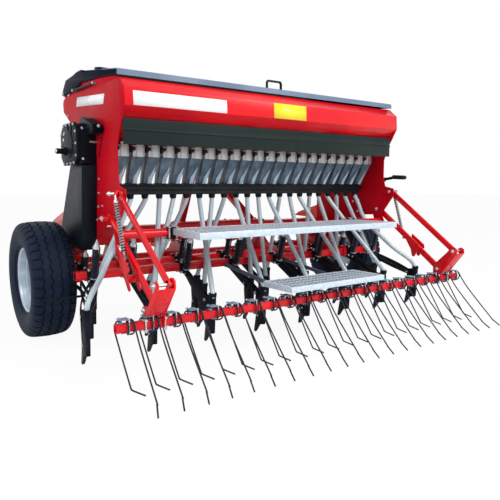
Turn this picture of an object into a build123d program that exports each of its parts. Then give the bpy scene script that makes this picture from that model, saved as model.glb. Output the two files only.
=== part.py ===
# Mounted mechanical seed drill with a following tine harrow.
# Millimetres. +Z up, +Y is the way it travels, +X its right side, the ground is Z = 0.
# Below, Y = 0 is the wheel axle; each piece is saved with Y = 0 in the middle of its whole length.
from build123d import *
from math import cos, pi, sin
import os

os.makedirs("parts", exist_ok=True)

# Hitch plates reach furthest forward, tine tips furthest back
FRONT_END = 470.0
REAR_END = -1627.3626
MIDDLE_Y = (FRONT_END + REAR_END) / 2

# Rows and their ranks
ROWS = 22
ROW_PITCH = 129.0
OUTLET_PITCH = 98.0
MID_ROW = (ROWS - 1) / 2
BEAM_Y = 60.0
TUBE_Z = 440.0
TUBE_SIDE = 50.0

# rank, rows, tube y, tube half length, tip y
RANKS = [
    ("rear", (0, 3, 6, 9, 12, 15, 18, 21), -450.0, 1290.0, -790.0),
    ("mid", (1, 4, 7, 10, 11, 14, 17, 20), -130.0, 1195.0, -470.0),
    ("front", (2, 5, 8, 13, 16, 19), 190.0, 1150.0, -150.0),
]
# Outer rows whose clamp sits further in than the row: row, clamp x
SHIFTED_CLAMPS = {0: -1195.0, 1: -1150.0, 2: -1085.0, 19: 1085.0, 20: 1150.0, 21: 1195.0}
# Outer seed tubes bend below the side plates: row, elbow
ELBOWS = {0: [(-1064.0, -560.0, 690.0)], 21: [(1064.0, -560.0, 690.0)]}

# Side plates and the hopper between them
CHEEK_OUT = 1107.0
CHEEK_IN = 1099.0
CHEEK_OUTLINE = [
    (-735, 1558), (-806, 1500), (-812, 1400), (-772, 1330), (-748, 1293), (-697, 1173), (-697, 1033),
    (-716, 968), (-800, 950), (-800, 890), (-690, 750), (-715, 690), (-700, 632),
    (-640, 632), (-600, 740), (-500, 735), (-333, 660), (-90, 545), (-75, 480), (75, 480),
    (75, 900), (10, 1120), (20, 1330),
    (129, 1401), (248, 1473), (258, 1529), (242, 1556), (215, 1560), (215, 1590), (208, 1597), (190, 1597), (160, 1562),
]
WALL = 3.0
HOPPER_OUTER = [
    (-735, 1556), (-806, 1500), (-812, 1400), (-740, 1346), (-480, 1205), (-400, 1165),
    (-340, 1165), (129, 1401), (248, 1473), (258, 1529), (240, 1556),
]
HOPPER_INNER = [
    (-732, 1600), (-732, 1556), (-802.5, 1498.5), (-808.5, 1401), (-738, 1349), (-478, 1208),
    (-399.5, 1168), (-341, 1168), (127.5, 1404), (245, 1474.5), (254.8, 1529), (237, 1555),
    (237, 1600),
]

# Harrow linkage: y, z of its four pivots
ARM_UPPER_FRONT = (-760.0, 926.0)
ARM_UPPER_REAR = (-1343.0, 508.0)
ARM_LOWER_REAR = (-1219.0, 369.0)
ARM_LOWER_FRONT = (-636.0, 787.0)
ARM_IN = 1122.0
ARM_OUT = 1179.0
PIN_R = 8.0
SPRING_END = (-905.0, 602.0)
BAR_Y = -1218.0
BAR_Z = 300.0
BAR_SIDE = 40.0
BAR_HALF = 1347.0

# Tines
TINES = 22
TINE_PITCH = 123.8
TINE_R = 3.5
COIL_R = 36.0
COIL_HALF = 12.5
COIL_SIDES = 6
COIL_OFFSET = 32.0

# Wheels
WHEEL_X = 1368.0
TYRE_R = 372.0
TYRE_HALF = 132.0
AXLE_Z = 372.0
AXLE_R = 25.0


def row_x(row):
    return (row - MID_ROW) * ROW_PITCH


def outlet_x(row):
    return (row - MID_ROW) * OUTLET_PITCH


def side_plate(x, thickness, outline):
    """Flat plate standing across X, from x to x + thickness, outline in Y, Z."""
    with BuildPart() as piece:
        with BuildSketch(Plane.YZ.offset(x)):
            with BuildLine():
                Polyline(*outline, close=True)
            make_face()
        extrude(amount=thickness)
    return piece.part


def block(x0, x1, y0, y1, z0, z1):
    with BuildPart() as piece:
        with Locations(((x0 + x1) / 2, (y0 + y1) / 2, (z0 + z1) / 2)):
            Box(x1 - x0, y1 - y0, z1 - z0)
    return piece.part


def rod(start, end, radius, sides=8):
    """Rod between two points, round in the real one and of few flats here, to its full radius."""
    path = Vector(*end) - Vector(*start)
    with BuildPart() as piece:
        with BuildSketch(Plane(origin=start, z_dir=path)):
            RegularPolygon(radius, sides)
        extrude(amount=path.length)
    return piece.part


def round_rod(start, end, radius):
    path = Vector(*end) - Vector(*start)
    with BuildPart() as piece:
        with BuildSketch(Plane(origin=start, z_dir=path)):
            Circle(radius)
        extrude(amount=path.length)
    return piece.part


def hole_x(x0, x1, y, z, radius, sides=8):
    """Cutter whose flats stand at the radius, so a rod of that radius turns in it."""
    with BuildPart() as piece:
        with BuildSketch(Plane(origin=(x0, y, z), z_dir=(x1 - x0, 0, 0))):
            RegularPolygon(radius, sides, major_radius=False)
        extrude(amount=abs(x1 - x0))
    return piece.part


def flat_face(corners):
    return Face(Wire.make_polygon([Vector(*corner) for corner in corners], close=True))


def faceted(rings):
    """Solid of flat faces through rings of matching corners, closed by its first and last ring."""
    faces = [flat_face(rings[0]), flat_face(rings[-1])]
    for low, high in zip(rings, rings[1:]):
        for i in range(len(low)):
            after = (i + 1) % len(low)
            faces.append(flat_face([low[i], low[after], high[after], high[i]]))
    return Solid(Shell(faces))


def turned(stations, sides, centre):
    """Wheel form: x and radius of each station, joined by straight walls."""
    turns = [2 * pi * i / sides for i in range(sides)]
    x, y, z = centre
    return faceted([[(x + along, y + r * cos(t), z + r * sin(t)) for t in turns] for along, r in stations])


def tapered(low, high):
    """Straight-sided funnel between two level rectangles: x, y, z, width, depth of each."""
    corners = ((-0.5, -0.5), (0.5, -0.5), (0.5, 0.5), (-0.5, 0.5))
    return faceted([[(x + a * width, y + b * depth, z) for a, b in corners] for x, y, z, width, depth in (low, high)])


def leaning_tube(points, radius, sides=6):
    """Tube through level sections at the given points, so each end lies flat."""
    turns = [2 * pi * i / sides for i in range(sides)]
    return faceted([[(x + radius * cos(t), y + radius * sin(t), z) for t in turns] for x, y, z in points])


def flat_bar(start, end, width, depth, x_dir=(1, 0, 0)):
    """Rectangular bar between two points, width along x_dir."""
    path = Vector(*end) - Vector(*start)
    with BuildPart() as piece:
        with BuildSketch(Plane(origin=start, x_dir=x_dir, z_dir=path)):
            Rectangle(width, depth)
        extrude(amount=path.length)
    return piece.part


def bent_wire(points, size):
    """Square wire along straight runs, mitred at the bends."""
    with BuildPart() as piece:
        with BuildLine():
            Polyline(*points)
        with BuildSketch(Plane(origin=points[0], z_dir=Vector(*points[1]) - Vector(*points[0]))):
            Rectangle(size, size)
        sweep(transition=Transition.RIGHT)
    return piece.part


def rod_x(x0, x1, y, z, radius, sides=8):
    return rod((x0, y, z), (x1, y, z), radius, sides)


def mirrored(pieces):
    return pieces + [mirror(piece, about=Plane.YZ) for piece in pieces]


def save(part, name):
    part = part.moved(Location((0, -MIDDLE_Y, 0)))
    part.label = name
    export_step(part, "parts/" + name + ".step")


# Hopper bin, open at the top
with BuildPart() as hopper:
    add(side_plate(-CHEEK_IN, 2 * CHEEK_IN, HOPPER_OUTER))
    add(side_plate(-CHEEK_IN, 2 * CHEEK_IN, HOPPER_INNER), mode=Mode.SUBTRACT)
save(hopper.part, "hopper")

# Side plates
with BuildPart() as cheeks:
    plate = side_plate(CHEEK_IN, CHEEK_OUT - CHEEK_IN, CHEEK_OUTLINE)
    for y, z in (ARM_UPPER_FRONT, ARM_LOWER_FRONT):
        plate = plate - rod_x(CHEEK_IN - 1, CHEEK_OUT + 1, y, z, PIN_R)
    plate = plate - hole_x(CHEEK_IN - 1, CHEEK_OUT + 1, 205, 1587, 6.2)
    add(mirrored([plate]))
save(cheeks.part, "cheeks")

# Pins that carry the harrow arms, and their heads
with BuildPart() as arm_pins:
    pins = []
    for y, z in (ARM_UPPER_FRONT, ARM_LOWER_FRONT):
        pin = rod_x(CHEEK_IN, ARM_OUT + 2, y, z, PIN_R) + rod_x(ARM_OUT + 2, ARM_OUT + 10, y, z, 13, 6)
        spacer = rod_x(CHEEK_OUT, ARM_IN - 1, y, z, 13)
        pins.append(pin + spacer + rod_x(CHEEK_IN - 8, CHEEK_IN, y, z, 13, 6))
    add(mirrored(pins))
save(arm_pins.part, "arm_pins")

# Main beam between the side plates
with BuildPart() as main_beam:
    add(block(-CHEEK_IN, CHEEK_IN, -BEAM_Y, BEAM_Y, 570, 690))
save(main_beam.part, "main_beam")

# Three square tubes that carry the coulters
with BuildPart() as coulter_tubes:
    half = TUBE_SIDE / 2
    for name, rows, tube_y, tube_half, tip_y in RANKS:
        add(block(-tube_half, tube_half, tube_y - half, tube_y + half, TUBE_Z - half, TUBE_Z + half))
save(coulter_tubes.part, "coulter_tubes")

# Hangers that hold the tubes under the beam
HANGER_OUTLINE = [
    (-60, 570), (60, 570), (130, 480), (228, 480), (228, 400), (-488, 400), (-488, 480), (-170, 480),
]
with BuildPart() as hangers:
    plates = [side_plate(x, 12, HANGER_OUTLINE) for x in (-909, -393, 381, 897)]
    add(plates)
    add(coulter_tubes.part, mode=Mode.SUBTRACT)
save(hangers.part, "hangers")

# Three-point headstock: mast legs, top link ears, lower link plates
TOP_LINK = (330.0, 1130.0)
LOWER_LINK = (430.0, 520.0)
with BuildPart() as headstock:
    legs = mirrored([flat_bar((330, 30, 690), (62, 300, 1115), 50, 50, (0, 1, 0))])
    add(legs)
    add(block(-120, 120, 250, 310, 1060, 1110))
    add(block(-400, 400, -60, 60, 690, 702))
    ears = mirrored([side_plate(26, 12, [(240, 1060), (300, 1060), (365, 1105), (365, 1160), (300, 1160)])])
    add(ears)
    for side in (-1, 1):
        add(round_rod((side * 20, *TOP_LINK), (side * 45, *TOP_LINK), 12.75), mode=Mode.SUBTRACT)
    links = mirrored([side_plate(360, 20, [(60, 570), (60, 690), (110, 690), (470, 560), (470, 480), (400, 480)])])
    add(links)
    add(main_beam.part, mode=Mode.SUBTRACT)
save(headstock.part, "headstock")

with BuildPart() as hitch_pins:
    add(mirrored([round_rod((380, *LOWER_LINK), (460, *LOWER_LINK), 14.2)]))
save(hitch_pins.part, "hitch_pins")

# Wheel legs with stub axles
with BuildPart() as wheel_legs:
    leg = side_plate(CHEEK_OUT, 60, [(-70, 565), (70, 565), (70, 490), (-70, 490)])
    leg = leg + side_plate(1125, 42, [(-70, 500), (70, 500), (50, 330), (-50, 330)])
    leg = leg + rod_x(1167, 1400, 0, AXLE_Z, AXLE_R, 12)
    leg = leg + side_plate(1157, 10, [(-70, 565), (-70, 690), (130, 800), (400, 724), (460, 690), (235, 680), (70, 565)])
    add(mirrored([leg]))
save(wheel_legs.part, "wheel_legs")

# Scrapers behind the tyres
with BuildPart() as scrapers:
    arm = flat_bar((1219, -40, 366), (1219, -398, 338), 10, 24)
    blade = block(1214, 1490, -410, -396, 322, 352)
    foot = block(1167, 1224, -48, -30, 354, 378)
    add(mirrored([arm + blade + foot]))
save(scrapers.part, "scrapers")

# Tube across the rear and the two running boards
BOARD_TUBE = (-665.0, 665.0)
with BuildPart() as board_tube:
    add(rod_x(-CHEEK_IN, CHEEK_IN, *BOARD_TUBE, 25, 12))
save(board_tube.part, "board_tube")

# board, half length, front y, rear y, top z, lip
BOARDS = [
    ("upper", 840.0, -700.0, -1070.0, 716.0, 36.0),
    ("lower", 365.0, -1040.0, -1330.0, 405.0, 30.0),
]
SHEET = 3.0
with BuildPart() as running_boards:
    for name, half_x, y_front, y_rear, top, lip in BOARDS:
        pan = block(-half_x, half_x, y_rear, y_front, top - lip, top)
        inside = block(-half_x + SHEET, half_x - SHEET, y_rear + SHEET, y_front - SHEET, top - lip - 1, top - SHEET)
        add(pan - inside)
save(running_boards.part, "running_boards")

with BuildPart() as board_brackets:
    for x in (-600, 0, 600):
        strap = block(x - 25, x + 25, -1060, -632, 672, 680) - rod_x(x - 30, x + 30, *BOARD_TUBE, 25, 12)
        add(strap)
    for x in (-258, 258):
        add(flat_bar((x, -470, 428), (x, -1030, 363), 12, 24))
        add(block(x - 6, x + 6, -1300, -1024, 351, 375))
    add(coulter_tubes.part, mode=Mode.SUBTRACT)
save(board_brackets.part, "board_brackets")

# Metering housings with a shaft through them
HOUSING_Y = -540.0
SHAFT_Z = 1172.0
with BuildPart() as seed_housings:
    housings = [
        side_plate(outlet_x(row) - 35, 70, [(-592, 1140), (-488, 1140), (-488, 1206), (-592, 1212)])
        - rod_x(outlet_x(row) - 36, outlet_x(row) + 36, HOUSING_Y, SHAFT_Z, 11, 6)
        for row in range(ROWS)
    ]
    add(housings)
save(seed_housings.part, "seed_housings")

# Metering shaft and the gearbox's output stub
GEARBOX_OUT = -1205.0
GEAR_COVER_OUT = -1228.0
with BuildPart() as drive_shafts:
    add(rod_x(-CHEEK_IN, CHEEK_IN, HOUSING_Y, SHAFT_Z, 10, 6))
    add(rod_x(-1300, GEAR_COVER_OUT, -190, 1181, 13))
save(drive_shafts.part, "drive_shafts")

# Chutes from the housings to the funnel bar
with BuildPart() as chutes:
    add([
        tapered((outlet_x(row), -455, 980, 44, 56), (outlet_x(row), -550, 1140, 66, 76))
        for row in range(ROWS)
    ])
save(chutes.part, "chutes")

with BuildPart() as funnel_bar:
    add(block(-1045, 1045, -492, -408, 915, 980))
    add(block(-CHEEK_IN, -1045, -470, -430, 940, 970))
    add(block(1045, CHEEK_IN, -470, -430, 940, 970))
save(funnel_bar.part, "funnel_bar")

cups = [rod((outlet_x(row), -450, 915), (outlet_x(row), -450, 885), 24, 6) for row in range(ROWS)]
with BuildPart() as funnel_cups:
    add(cups)
save(funnel_cups.part, "funnel_cups")

# Springs under the drive cover are shorter: row, top
SPRING_TOPS = {1: 556.0, 20: 556.0}

# Coulters: clamp, arm and boot of each row in one piece, with the toe of the boot forward
BOOT = [(-70, 300), (12, 300), (26, 235), (22, 130), (48, 8), (36, 0), (-6, 56), (-62, 66)]
# One row near the middle has a wide plate down to its boot
WIDE_ROW = 6
WIDE_PLATE = [(268, 395), (40, 395), (20, 300), (-70, 300), (-70, 200), (30, 190), (120, 300)]


def coulter_arm(clamp_x, x, tube_y, tip_y, width):
    return flat_bar((clamp_x, tube_y - 34, TUBE_Z - 20), (x, tip_y - 5, 262), width, 34)


def coulter(clamp_x, x, tube_y, tip_y):
    half = TUBE_SIDE / 2
    clamp = block(clamp_x - 32, clamp_x + 32, tube_y - 38, tube_y + 38, TUBE_Z - 38, TUBE_Z + 38)
    clamp = clamp - block(clamp_x - 40, clamp_x + 40, tube_y - half, tube_y + half, TUBE_Z - half, TUBE_Z + half)
    arm = coulter_arm(clamp_x, x, tube_y, tip_y, 22)
    boot = side_plate(x - 16, 32, [(tip_y + y, z) for y, z in BOOT])
    return clamp + arm + boot


rows_table = []
for name, rows, tube_y, tube_half, tip_y in RANKS:
    for row in rows:
        rows_table.append((row, SHIFTED_CLAMPS.get(row, row_x(row)), row_x(row), tube_y, tip_y))

coulter_solids = {row: coulter(clamp_x, x, tube_y, tip_y) for row, clamp_x, x, tube_y, tip_y in rows_table}
wide_tip = RANKS[0][4]
coulter_solids[WIDE_ROW] += side_plate(row_x(WIDE_ROW) - 14, 6, [(wide_tip + y, z) for y, z in WIDE_PLATE])

with BuildPart() as coulters:
    add(list(coulter_solids.values()))
save(coulters.part, "coulters")

# Springs lean back from the arms and stand on them, each cut along its arm's upper face
springs = []
for row, clamp_x, x, tube_y, tip_y in rows_table:
    top = SPRING_TOPS.get(row, 640.0)
    foot_y = tube_y - 62
    lean = 0.3 if tube_y < 0 else 0.1
    spring = rod((clamp_x, foot_y + lean * 14, 412), (clamp_x, foot_y - lean * (top - 426), top), 24, 6)
    springs.append(spring - coulter_arm(clamp_x, row_x(row), tube_y, tip_y, 80))
with BuildPart() as coulter_springs:
    add(springs)
save(coulter_springs.part, "coulter_springs")

# Telescopic tubes from the cups to the boots
with BuildPart() as seed_tubes:
    add([
        leaning_tube([(x, tip_y - 50, 300), *ELBOWS.get(row, []), (outlet_x(row), -450, 885)], 14)
        for row, clamp_x, x, tube_y, tip_y in rows_table
    ])
save(seed_tubes.part, "seed_tubes")

# Drive on the left side
with BuildPart() as gearbox:
    add(block(GEARBOX_OUT, -CHEEK_OUT, -375, -30, 1100, 1338))
save(gearbox.part, "gearbox")

with BuildPart() as gearbox_cover:
    add(side_plate(GEAR_COVER_OUT, GEARBOX_OUT - GEAR_COVER_OUT, [
        (-330, 1095), (-120, 1095), (-70, 1145), (-70, 1290), (-130, 1348), (-320, 1348), (-380, 1300), (-380, 1140)]))
save(gearbox_cover.part, "gearbox_cover")

with BuildPart() as drive_cover:
    add(side_plate(-1200, 1200 - CHEEK_OUT, [
        (-378, 1094), (-152, 1094), (44, 778), (137, 603), (-322, 575), (-334, 667)]))
    add(wheel_legs.part, mode=Mode.SUBTRACT)
save(drive_cover.part, "drive_cover")

with BuildPart() as adjuster:
    add(side_plate(-1150, 1150 - CHEEK_OUT, [(-530, 1345), (-505, 1390), (-295, 1345), (-295, 1300), (-420, 1270)]))
    add(gearbox.part, mode=Mode.SUBTRACT)
save(adjuster.part, "adjuster")

with BuildPart() as crank:
    add(rod_x(CHEEK_OUT, 1130, -680, 1020, 20))
    add(flat_bar((1124, -680, 1020), (1124, -800, 1032), 10, 22))
    add(rod((1124, -790, 1031), (1124, -905, 1043), 12))
save(crank.part, "crank")

# Blank plates
with BuildPart() as name_plates:
    add(side_plate(-CHEEK_OUT - 1.5, 1.5, [(-53, 1535), (-535, 1494), (-512, 1438), (-28, 1479)]))
    add(side_plate(-1050, 600, [(-807.2, 1480), (-811.82, 1403), (-813.32, 1403), (-808.7, 1480)]))
save(name_plates.part, "name_plates")

with BuildPart() as centre_plate:
    add(side_plate(-89, 272, [(-806.12, 1498), (-811.88, 1402), (-813.38, 1402), (-807.62, 1498)]))
save(centre_plate.part, "centre_plate")

# Lid, hinged at its front edge
LID_PIVOT = (205.0, 1587.0)
LID_TOP = [(-742, 1568), (-742, 1596), (-104, 1694), (170, 1672), (222, 1610)]
LID_UNDER = [(-739, 1560), (-739, 1593.5), (-104, 1691), (168.5, 1669), (218, 1608), (216, 1600), (240, 1598), (240, 1560)]
with BuildPart() as lid:
    add(side_plate(-1118, 2236, [*LID_TOP, (219, 1600), (218, 1583), (205, 1572), (167, 1572), (-84, 1611), (-717, 1568)]))
    add(side_plate(-1112.5, 2225, LID_UNDER), mode=Mode.SUBTRACT)
    for side in (-1, 1):
        add(hole_x(side * 1110, side * 1120, *LID_PIVOT, 6.2), mode=Mode.SUBTRACT)
save(lid.part, "lid")

with BuildPart() as lid_pins:
    pin = rod_x(CHEEK_IN - 6, 1119, *LID_PIVOT, 6) + rod_x(1119, 1126, *LID_PIVOT, 12, 6)
    add(mirrored([pin]))
save(lid_pins.part, "lid_pins")

with BuildPart() as lid_handle:
    for x in (-89, 27):
        add(block(x, x + 16, -728, -712, 1599, 1640))
    add(block(-89, 43, -728, -712, 1640, 1656))
    add(lid.part, mode=Mode.SUBTRACT)
save(lid_handle.part, "lid_handle")

# Flap over the outlets, hinged at its top edge
FLAP_PIVOT = (-756.0, 1333.0)
with BuildPart() as flap:
    add(side_plate(-1092, 2184, [
        (-758, 1338), (-758, 1284), (-764, 1276), (-758, 1268), (-758, 1197), (-755, 1197), (-755, 1268),
        (-761, 1276), (-755, 1284), (-755, 1338)]))
    for side in (-1, 1):
        add(rod_x(side * 1090, side * CHEEK_IN, *FLAP_PIVOT, 5))
save(flap.part, "flap")

# Wheels: x and radius of each station, seen from the middle of the wheel outwards
WHEEL_SIDES = 24
BEAD_R = 190.0
TYRE = [
    (-88, 200), (-118, 240), (-132, 300), (-118, 350), (-74, 372), (74, 372), (118, 350), (132, 300), (118, 240), (88, 200),
]
RIM = [(-96, 206), (-84, BEAD_R), (84, BEAD_R), (96, 206)]
OUTER_DISH = [(97, 200), (86, 184), (30, 176), (2, 120)]
INNER_DISH = [(-97, 200), (-86, 184), (-20, 178), (-10, 120)]

for side, word in ((-1, "left"), (1, "right")):
    hub = (side * WHEEL_X, 0, AXLE_Z)
    with BuildPart() as rim:
        add(turned([(side * x, r) for x, r in RIM], WHEEL_SIDES, hub))
        for dish in (OUTER_DISH, INNER_DISH):
            add(turned([(side * x, r) for x, r in dish], WHEEL_SIDES, hub), mode=Mode.SUBTRACT)
        add(rod_x(side * (WHEEL_X - 60), side * (WHEEL_X + 30), 0, AXLE_Z, 70, 12))
        add(hole_x(side * (WHEEL_X - 98), side * (WHEEL_X + 34), 0, AXLE_Z, AXLE_R + 0.1, 12), mode=Mode.SUBTRACT)
    save(rim.part, "rim_" + word)
    with BuildPart() as tyre:
        add(turned([(side * x, r) for x, r in TYRE], WHEEL_SIDES, hub))
        add(rod_x(side * (WHEEL_X - 140), side * (WHEEL_X + 140), 0, AXLE_Z, BEAD_R, WHEEL_SIDES), mode=Mode.SUBTRACT)
        add(rim.part, mode=Mode.SUBTRACT)
    save(tyre.part, "tyre_" + word)


# Harrow arms
def arm_between(start, end, depth):
    middle = (ARM_IN + ARM_OUT) / 2
    bar = flat_bar((middle, *start), (middle, *end), ARM_OUT - ARM_IN, depth)
    for y, z in (start, end):
        bar = bar + rod_x(ARM_IN, ARM_OUT, y, z, depth / 2)
    for y, z in (start, end):
        bar = bar - hole_x(ARM_IN - 1, ARM_OUT + 1, y, z, PIN_R + 0.1)
    return bar


# Stop bracket on each lower arm: two plates with a prong, and the web between them
STOP_PLATE = [(-812, 668), (-820, 620), (-975, 428), (-998, 422), (-1010, 440), (-968, 505), (-1000, 535), (-990, 552)]
STOP_WEB = [(-948, 500), (-962, 497), (-990, 535), (-990, 552), (-970, 552)]

with BuildPart() as harrow_upper_arms:
    add(mirrored([arm_between(ARM_UPPER_FRONT, ARM_UPPER_REAR, 40)]))
save(harrow_upper_arms.part, "harrow_upper_arms")

with BuildPart() as harrow_lower_arms:
    lower_arm = arm_between(ARM_LOWER_FRONT, ARM_LOWER_REAR, 40)
    lower_arm = lower_arm + side_plate(ARM_OUT, 7, STOP_PLATE) + side_plate(ARM_IN - 7, 7, STOP_PLATE)
    lower_arm = lower_arm + side_plate(ARM_IN, ARM_OUT - ARM_IN, STOP_WEB)
    add(mirrored([lower_arm]))
save(harrow_lower_arms.part, "harrow_lower_arms")

# Sprung rods between the arms
with BuildPart() as harrow_springs:
    middle = (ARM_IN + ARM_OUT) / 2
    (y0, z0), (y1, z1) = (ARM_UPPER_FRONT, SPRING_END)
    path = [(middle, y0 + t * (y1 - y0), z0 + t * (z1 - z0)) for t in (0, 0.2, 0.8, 1)]
    add(mirrored([rod(path[0], path[3], 5) + rod(path[1], path[2], 13)]))
    add(harrow_upper_arms.part, mode=Mode.SUBTRACT)
    add(harrow_lower_arms.part, mode=Mode.SUBTRACT)
    add(mirrored([rod_x(ARM_IN - 2, ARM_OUT + 2, *ARM_UPPER_FRONT, 21)]), mode=Mode.SUBTRACT)
save(harrow_springs.part, "harrow_springs")

with BuildPart() as harrow_bar:
    half = BAR_SIDE / 2
    add(block(-BAR_HALF, BAR_HALF, BAR_Y - half, BAR_Y + half, BAR_Z - half, BAR_Z + half))
save(harrow_bar.part, "harrow_bar")

# Channel on each side from the bar up to the rear pivots: two plates and a web behind the arms
BRACKET = [
    (-1372, 528), (-1325, 538), (-1300, 500), (-1188, 395), (-1188, 272), (-1248, 272), (-1262, 345), (-1375, 490),
]
OUTER_BRACKET = [(-1372, 528), (-1325, 538), (-1300, 500), (-1188, 395), (-1188, 348), (-1262, 348), (-1375, 490)]
BRACKET_WEB = [(-1375, 490), (-1262, 348), (-1256, 352), (-1369, 494)]
BRACKET_IN = 1104.0
BRACKET_OUT = 1199.0
with BuildPart() as harrow_brackets:
    plate = side_plate(BRACKET_IN, 12, BRACKET) + side_plate(BRACKET_OUT - 8, 8, OUTER_BRACKET)
    plate = plate + side_plate(BRACKET_IN, BRACKET_OUT - BRACKET_IN, BRACKET_WEB)
    for y, z in (ARM_UPPER_REAR, ARM_LOWER_REAR):
        plate = plate - rod_x(BRACKET_IN - 1, BRACKET_OUT + 1, y, z, PIN_R)
    add(mirrored([plate]))
    add(harrow_bar.part, mode=Mode.SUBTRACT)
save(harrow_brackets.part, "harrow_brackets")

with BuildPart() as harrow_pins:
    pins = []
    for y, z in (ARM_UPPER_REAR, ARM_LOWER_REAR):
        pin = rod_x(BRACKET_IN, BRACKET_OUT, y, z, PIN_R) + rod_x(BRACKET_OUT, BRACKET_OUT + 8, y, z, 13, 6)
        pins.append(pin + rod_x(BRACKET_IN - 8, BRACKET_IN, y, z, 13, 6))
    add(mirrored(pins))
save(harrow_pins.part, "harrow_pins")

# Tine pairs: two coils round the bar, a bridge under a clamp plate, two wire legs
tine_x = [(i - (TINES - 1) / 2) * TINE_PITCH for i in range(TINES)]


def coil_ring(x):
    outside = rod_x(x - COIL_HALF, x + COIL_HALF, BAR_Y, BAR_Z, COIL_R + TINE_R, COIL_SIDES)
    return outside - rod_x(x - 20, x + 20, BAR_Y, BAR_Z, COIL_R - TINE_R, COIL_SIDES)


rings = {(x, side): coil_ring(x + side * COIL_OFFSET) for x in tine_x for side in (-1, 1)}
bridge_low = BAR_Z + COIL_R - TINE_R
bridge_top = BAR_Z + COIL_R + TINE_R
with BuildPart() as tine_coils:
    add([
        block(x - 22, x + 22, BAR_Y - TINE_R, BAR_Y + TINE_R, bridge_low, bridge_top) + rings[x, -1] + rings[x, 1]
        for x in tine_x
    ])
save(tine_coils.part, "tine_coils")

with BuildPart() as tine_clamps:
    saddles = [block(x - 16, x + 16, BAR_Y - 14, BAR_Y + 14, BAR_Z + BAR_SIDE / 2, bridge_low) for x in tine_x]
    plates = [block(x - 18, x + 18, BAR_Y - 30, BAR_Y + 30, bridge_top, bridge_top + 3) for x in tine_x]
    add(saddles + plates)
save(tine_clamps.part, "tine_clamps")

# Wire legs, short and long: side, then dx, y, z of each point
LEGS = [
    (-1, ((0, -1253, 286), (14, -1332, 46), (72, -1372, 5))),
    (1, ((0, -1253, 286), (-30, -1540, 34), (-66, -1625, 5))),
]
wires = []
for x in tine_x:
    for side, points in LEGS:
        path = [(x + side * (COIL_OFFSET + 6) + dx, y, z) for dx, y, z in points]
        wires.append(bent_wire(path, 2 * TINE_R) - rings[x, side])
with BuildPart() as tines:
    add(wires)
save(tines.part, "tines")
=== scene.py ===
from math import ceil, cos, radians, sin, tau

import bmesh
import bpy
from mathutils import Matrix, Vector


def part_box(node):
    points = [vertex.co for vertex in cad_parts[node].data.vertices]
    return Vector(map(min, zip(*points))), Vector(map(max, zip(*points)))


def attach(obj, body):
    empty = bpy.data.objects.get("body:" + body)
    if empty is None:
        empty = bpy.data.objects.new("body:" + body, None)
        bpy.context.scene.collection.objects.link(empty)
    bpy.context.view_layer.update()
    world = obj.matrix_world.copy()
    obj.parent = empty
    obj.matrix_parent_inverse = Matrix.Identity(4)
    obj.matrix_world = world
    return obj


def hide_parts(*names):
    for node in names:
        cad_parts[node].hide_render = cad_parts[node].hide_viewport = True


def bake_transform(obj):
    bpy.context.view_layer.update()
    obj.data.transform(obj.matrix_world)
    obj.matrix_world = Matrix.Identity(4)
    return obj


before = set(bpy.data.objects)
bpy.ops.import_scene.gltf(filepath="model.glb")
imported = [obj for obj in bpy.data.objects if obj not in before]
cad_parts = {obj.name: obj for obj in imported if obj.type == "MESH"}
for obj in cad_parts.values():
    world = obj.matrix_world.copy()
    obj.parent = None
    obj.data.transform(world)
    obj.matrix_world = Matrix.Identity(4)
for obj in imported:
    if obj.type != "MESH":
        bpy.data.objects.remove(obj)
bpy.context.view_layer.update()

# Lengths below are millimetres from the wheel axle: +Y the way it travels, +X its right side.
MM = 0.001
SIDES = (-1, 1)
LEFT, RIGHT = (-1, 0, 0), (1, 0, 0)
BACK, AHEAD = (0, -1, 0), (0, 1, 0)
DOWN, UP = (0, 0, -1), (0, 0, 1)
CORNERS = ((-1, -1), (1, -1), (1, 1), (-1, 1))
tyre_low, tyre_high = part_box("tyre_left")
AXLE_Y = (tyre_low[1] + tyre_high[1]) / 2


def metres(x, y, z):
    """A point of the tables in the frame's metres."""
    return (x * MM, y * MM + AXLE_Y, z * MM)


def link(piece):
    bpy.context.scene.collection.objects.link(piece)


# Node trees
class Value:
    """One socket of a node tree. Arithmetic on it adds Math nodes."""

    def __init__(self, nodes, socket):
        self.nodes = nodes
        self.socket = socket

    def math(self, operation, first, second):
        return self.nodes.node("ShaderNodeMath", {"operation": operation}, {0: first, 1: second})

    def __add__(self, other):
        return self.math("ADD", self, other)

    def __radd__(self, other):
        return self.math("ADD", other, self)

    def __sub__(self, other):
        return self.math("SUBTRACT", self, other)

    def __rsub__(self, other):
        return self.math("SUBTRACT", other, self)

    def __mul__(self, other):
        return self.math("MULTIPLY", self, other)

    def __rmul__(self, other):
        return self.math("MULTIPLY", other, self)

    def either(self, other):
        """The larger of the two."""
        return self.math("MAXIMUM", self, other)

    def above(self, low, high):
        """0 below low, 1 above high, smooth between."""
        return self.nodes.node(
            "ShaderNodeMapRange",
            {"interpolation_type": "SMOOTHSTEP"},
            {"Value": self, "From Min": low, "From Max": high},
        )


class Nodes:
    """A node tree. Every node is made by one method, and colours are given as red, green, blue."""

    def __init__(self, tree):
        self.tree = tree

    def node(self, kind, settings=None, inputs=None, output=0):
        made = self.tree.nodes.new(kind)
        for key, value in (settings or {}).items():
            setattr(made, key, value)
        for key, value in (inputs or {}).items():
            self.feed(made.inputs[key], value)
        return Value(self, made.outputs[output])

    def feed(self, socket, value):
        if isinstance(value, Value):
            self.tree.links.new(value.socket, socket)
        else:
            socket.default_value = (*value, 1.0) if socket.type == "RGBA" else value


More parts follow.
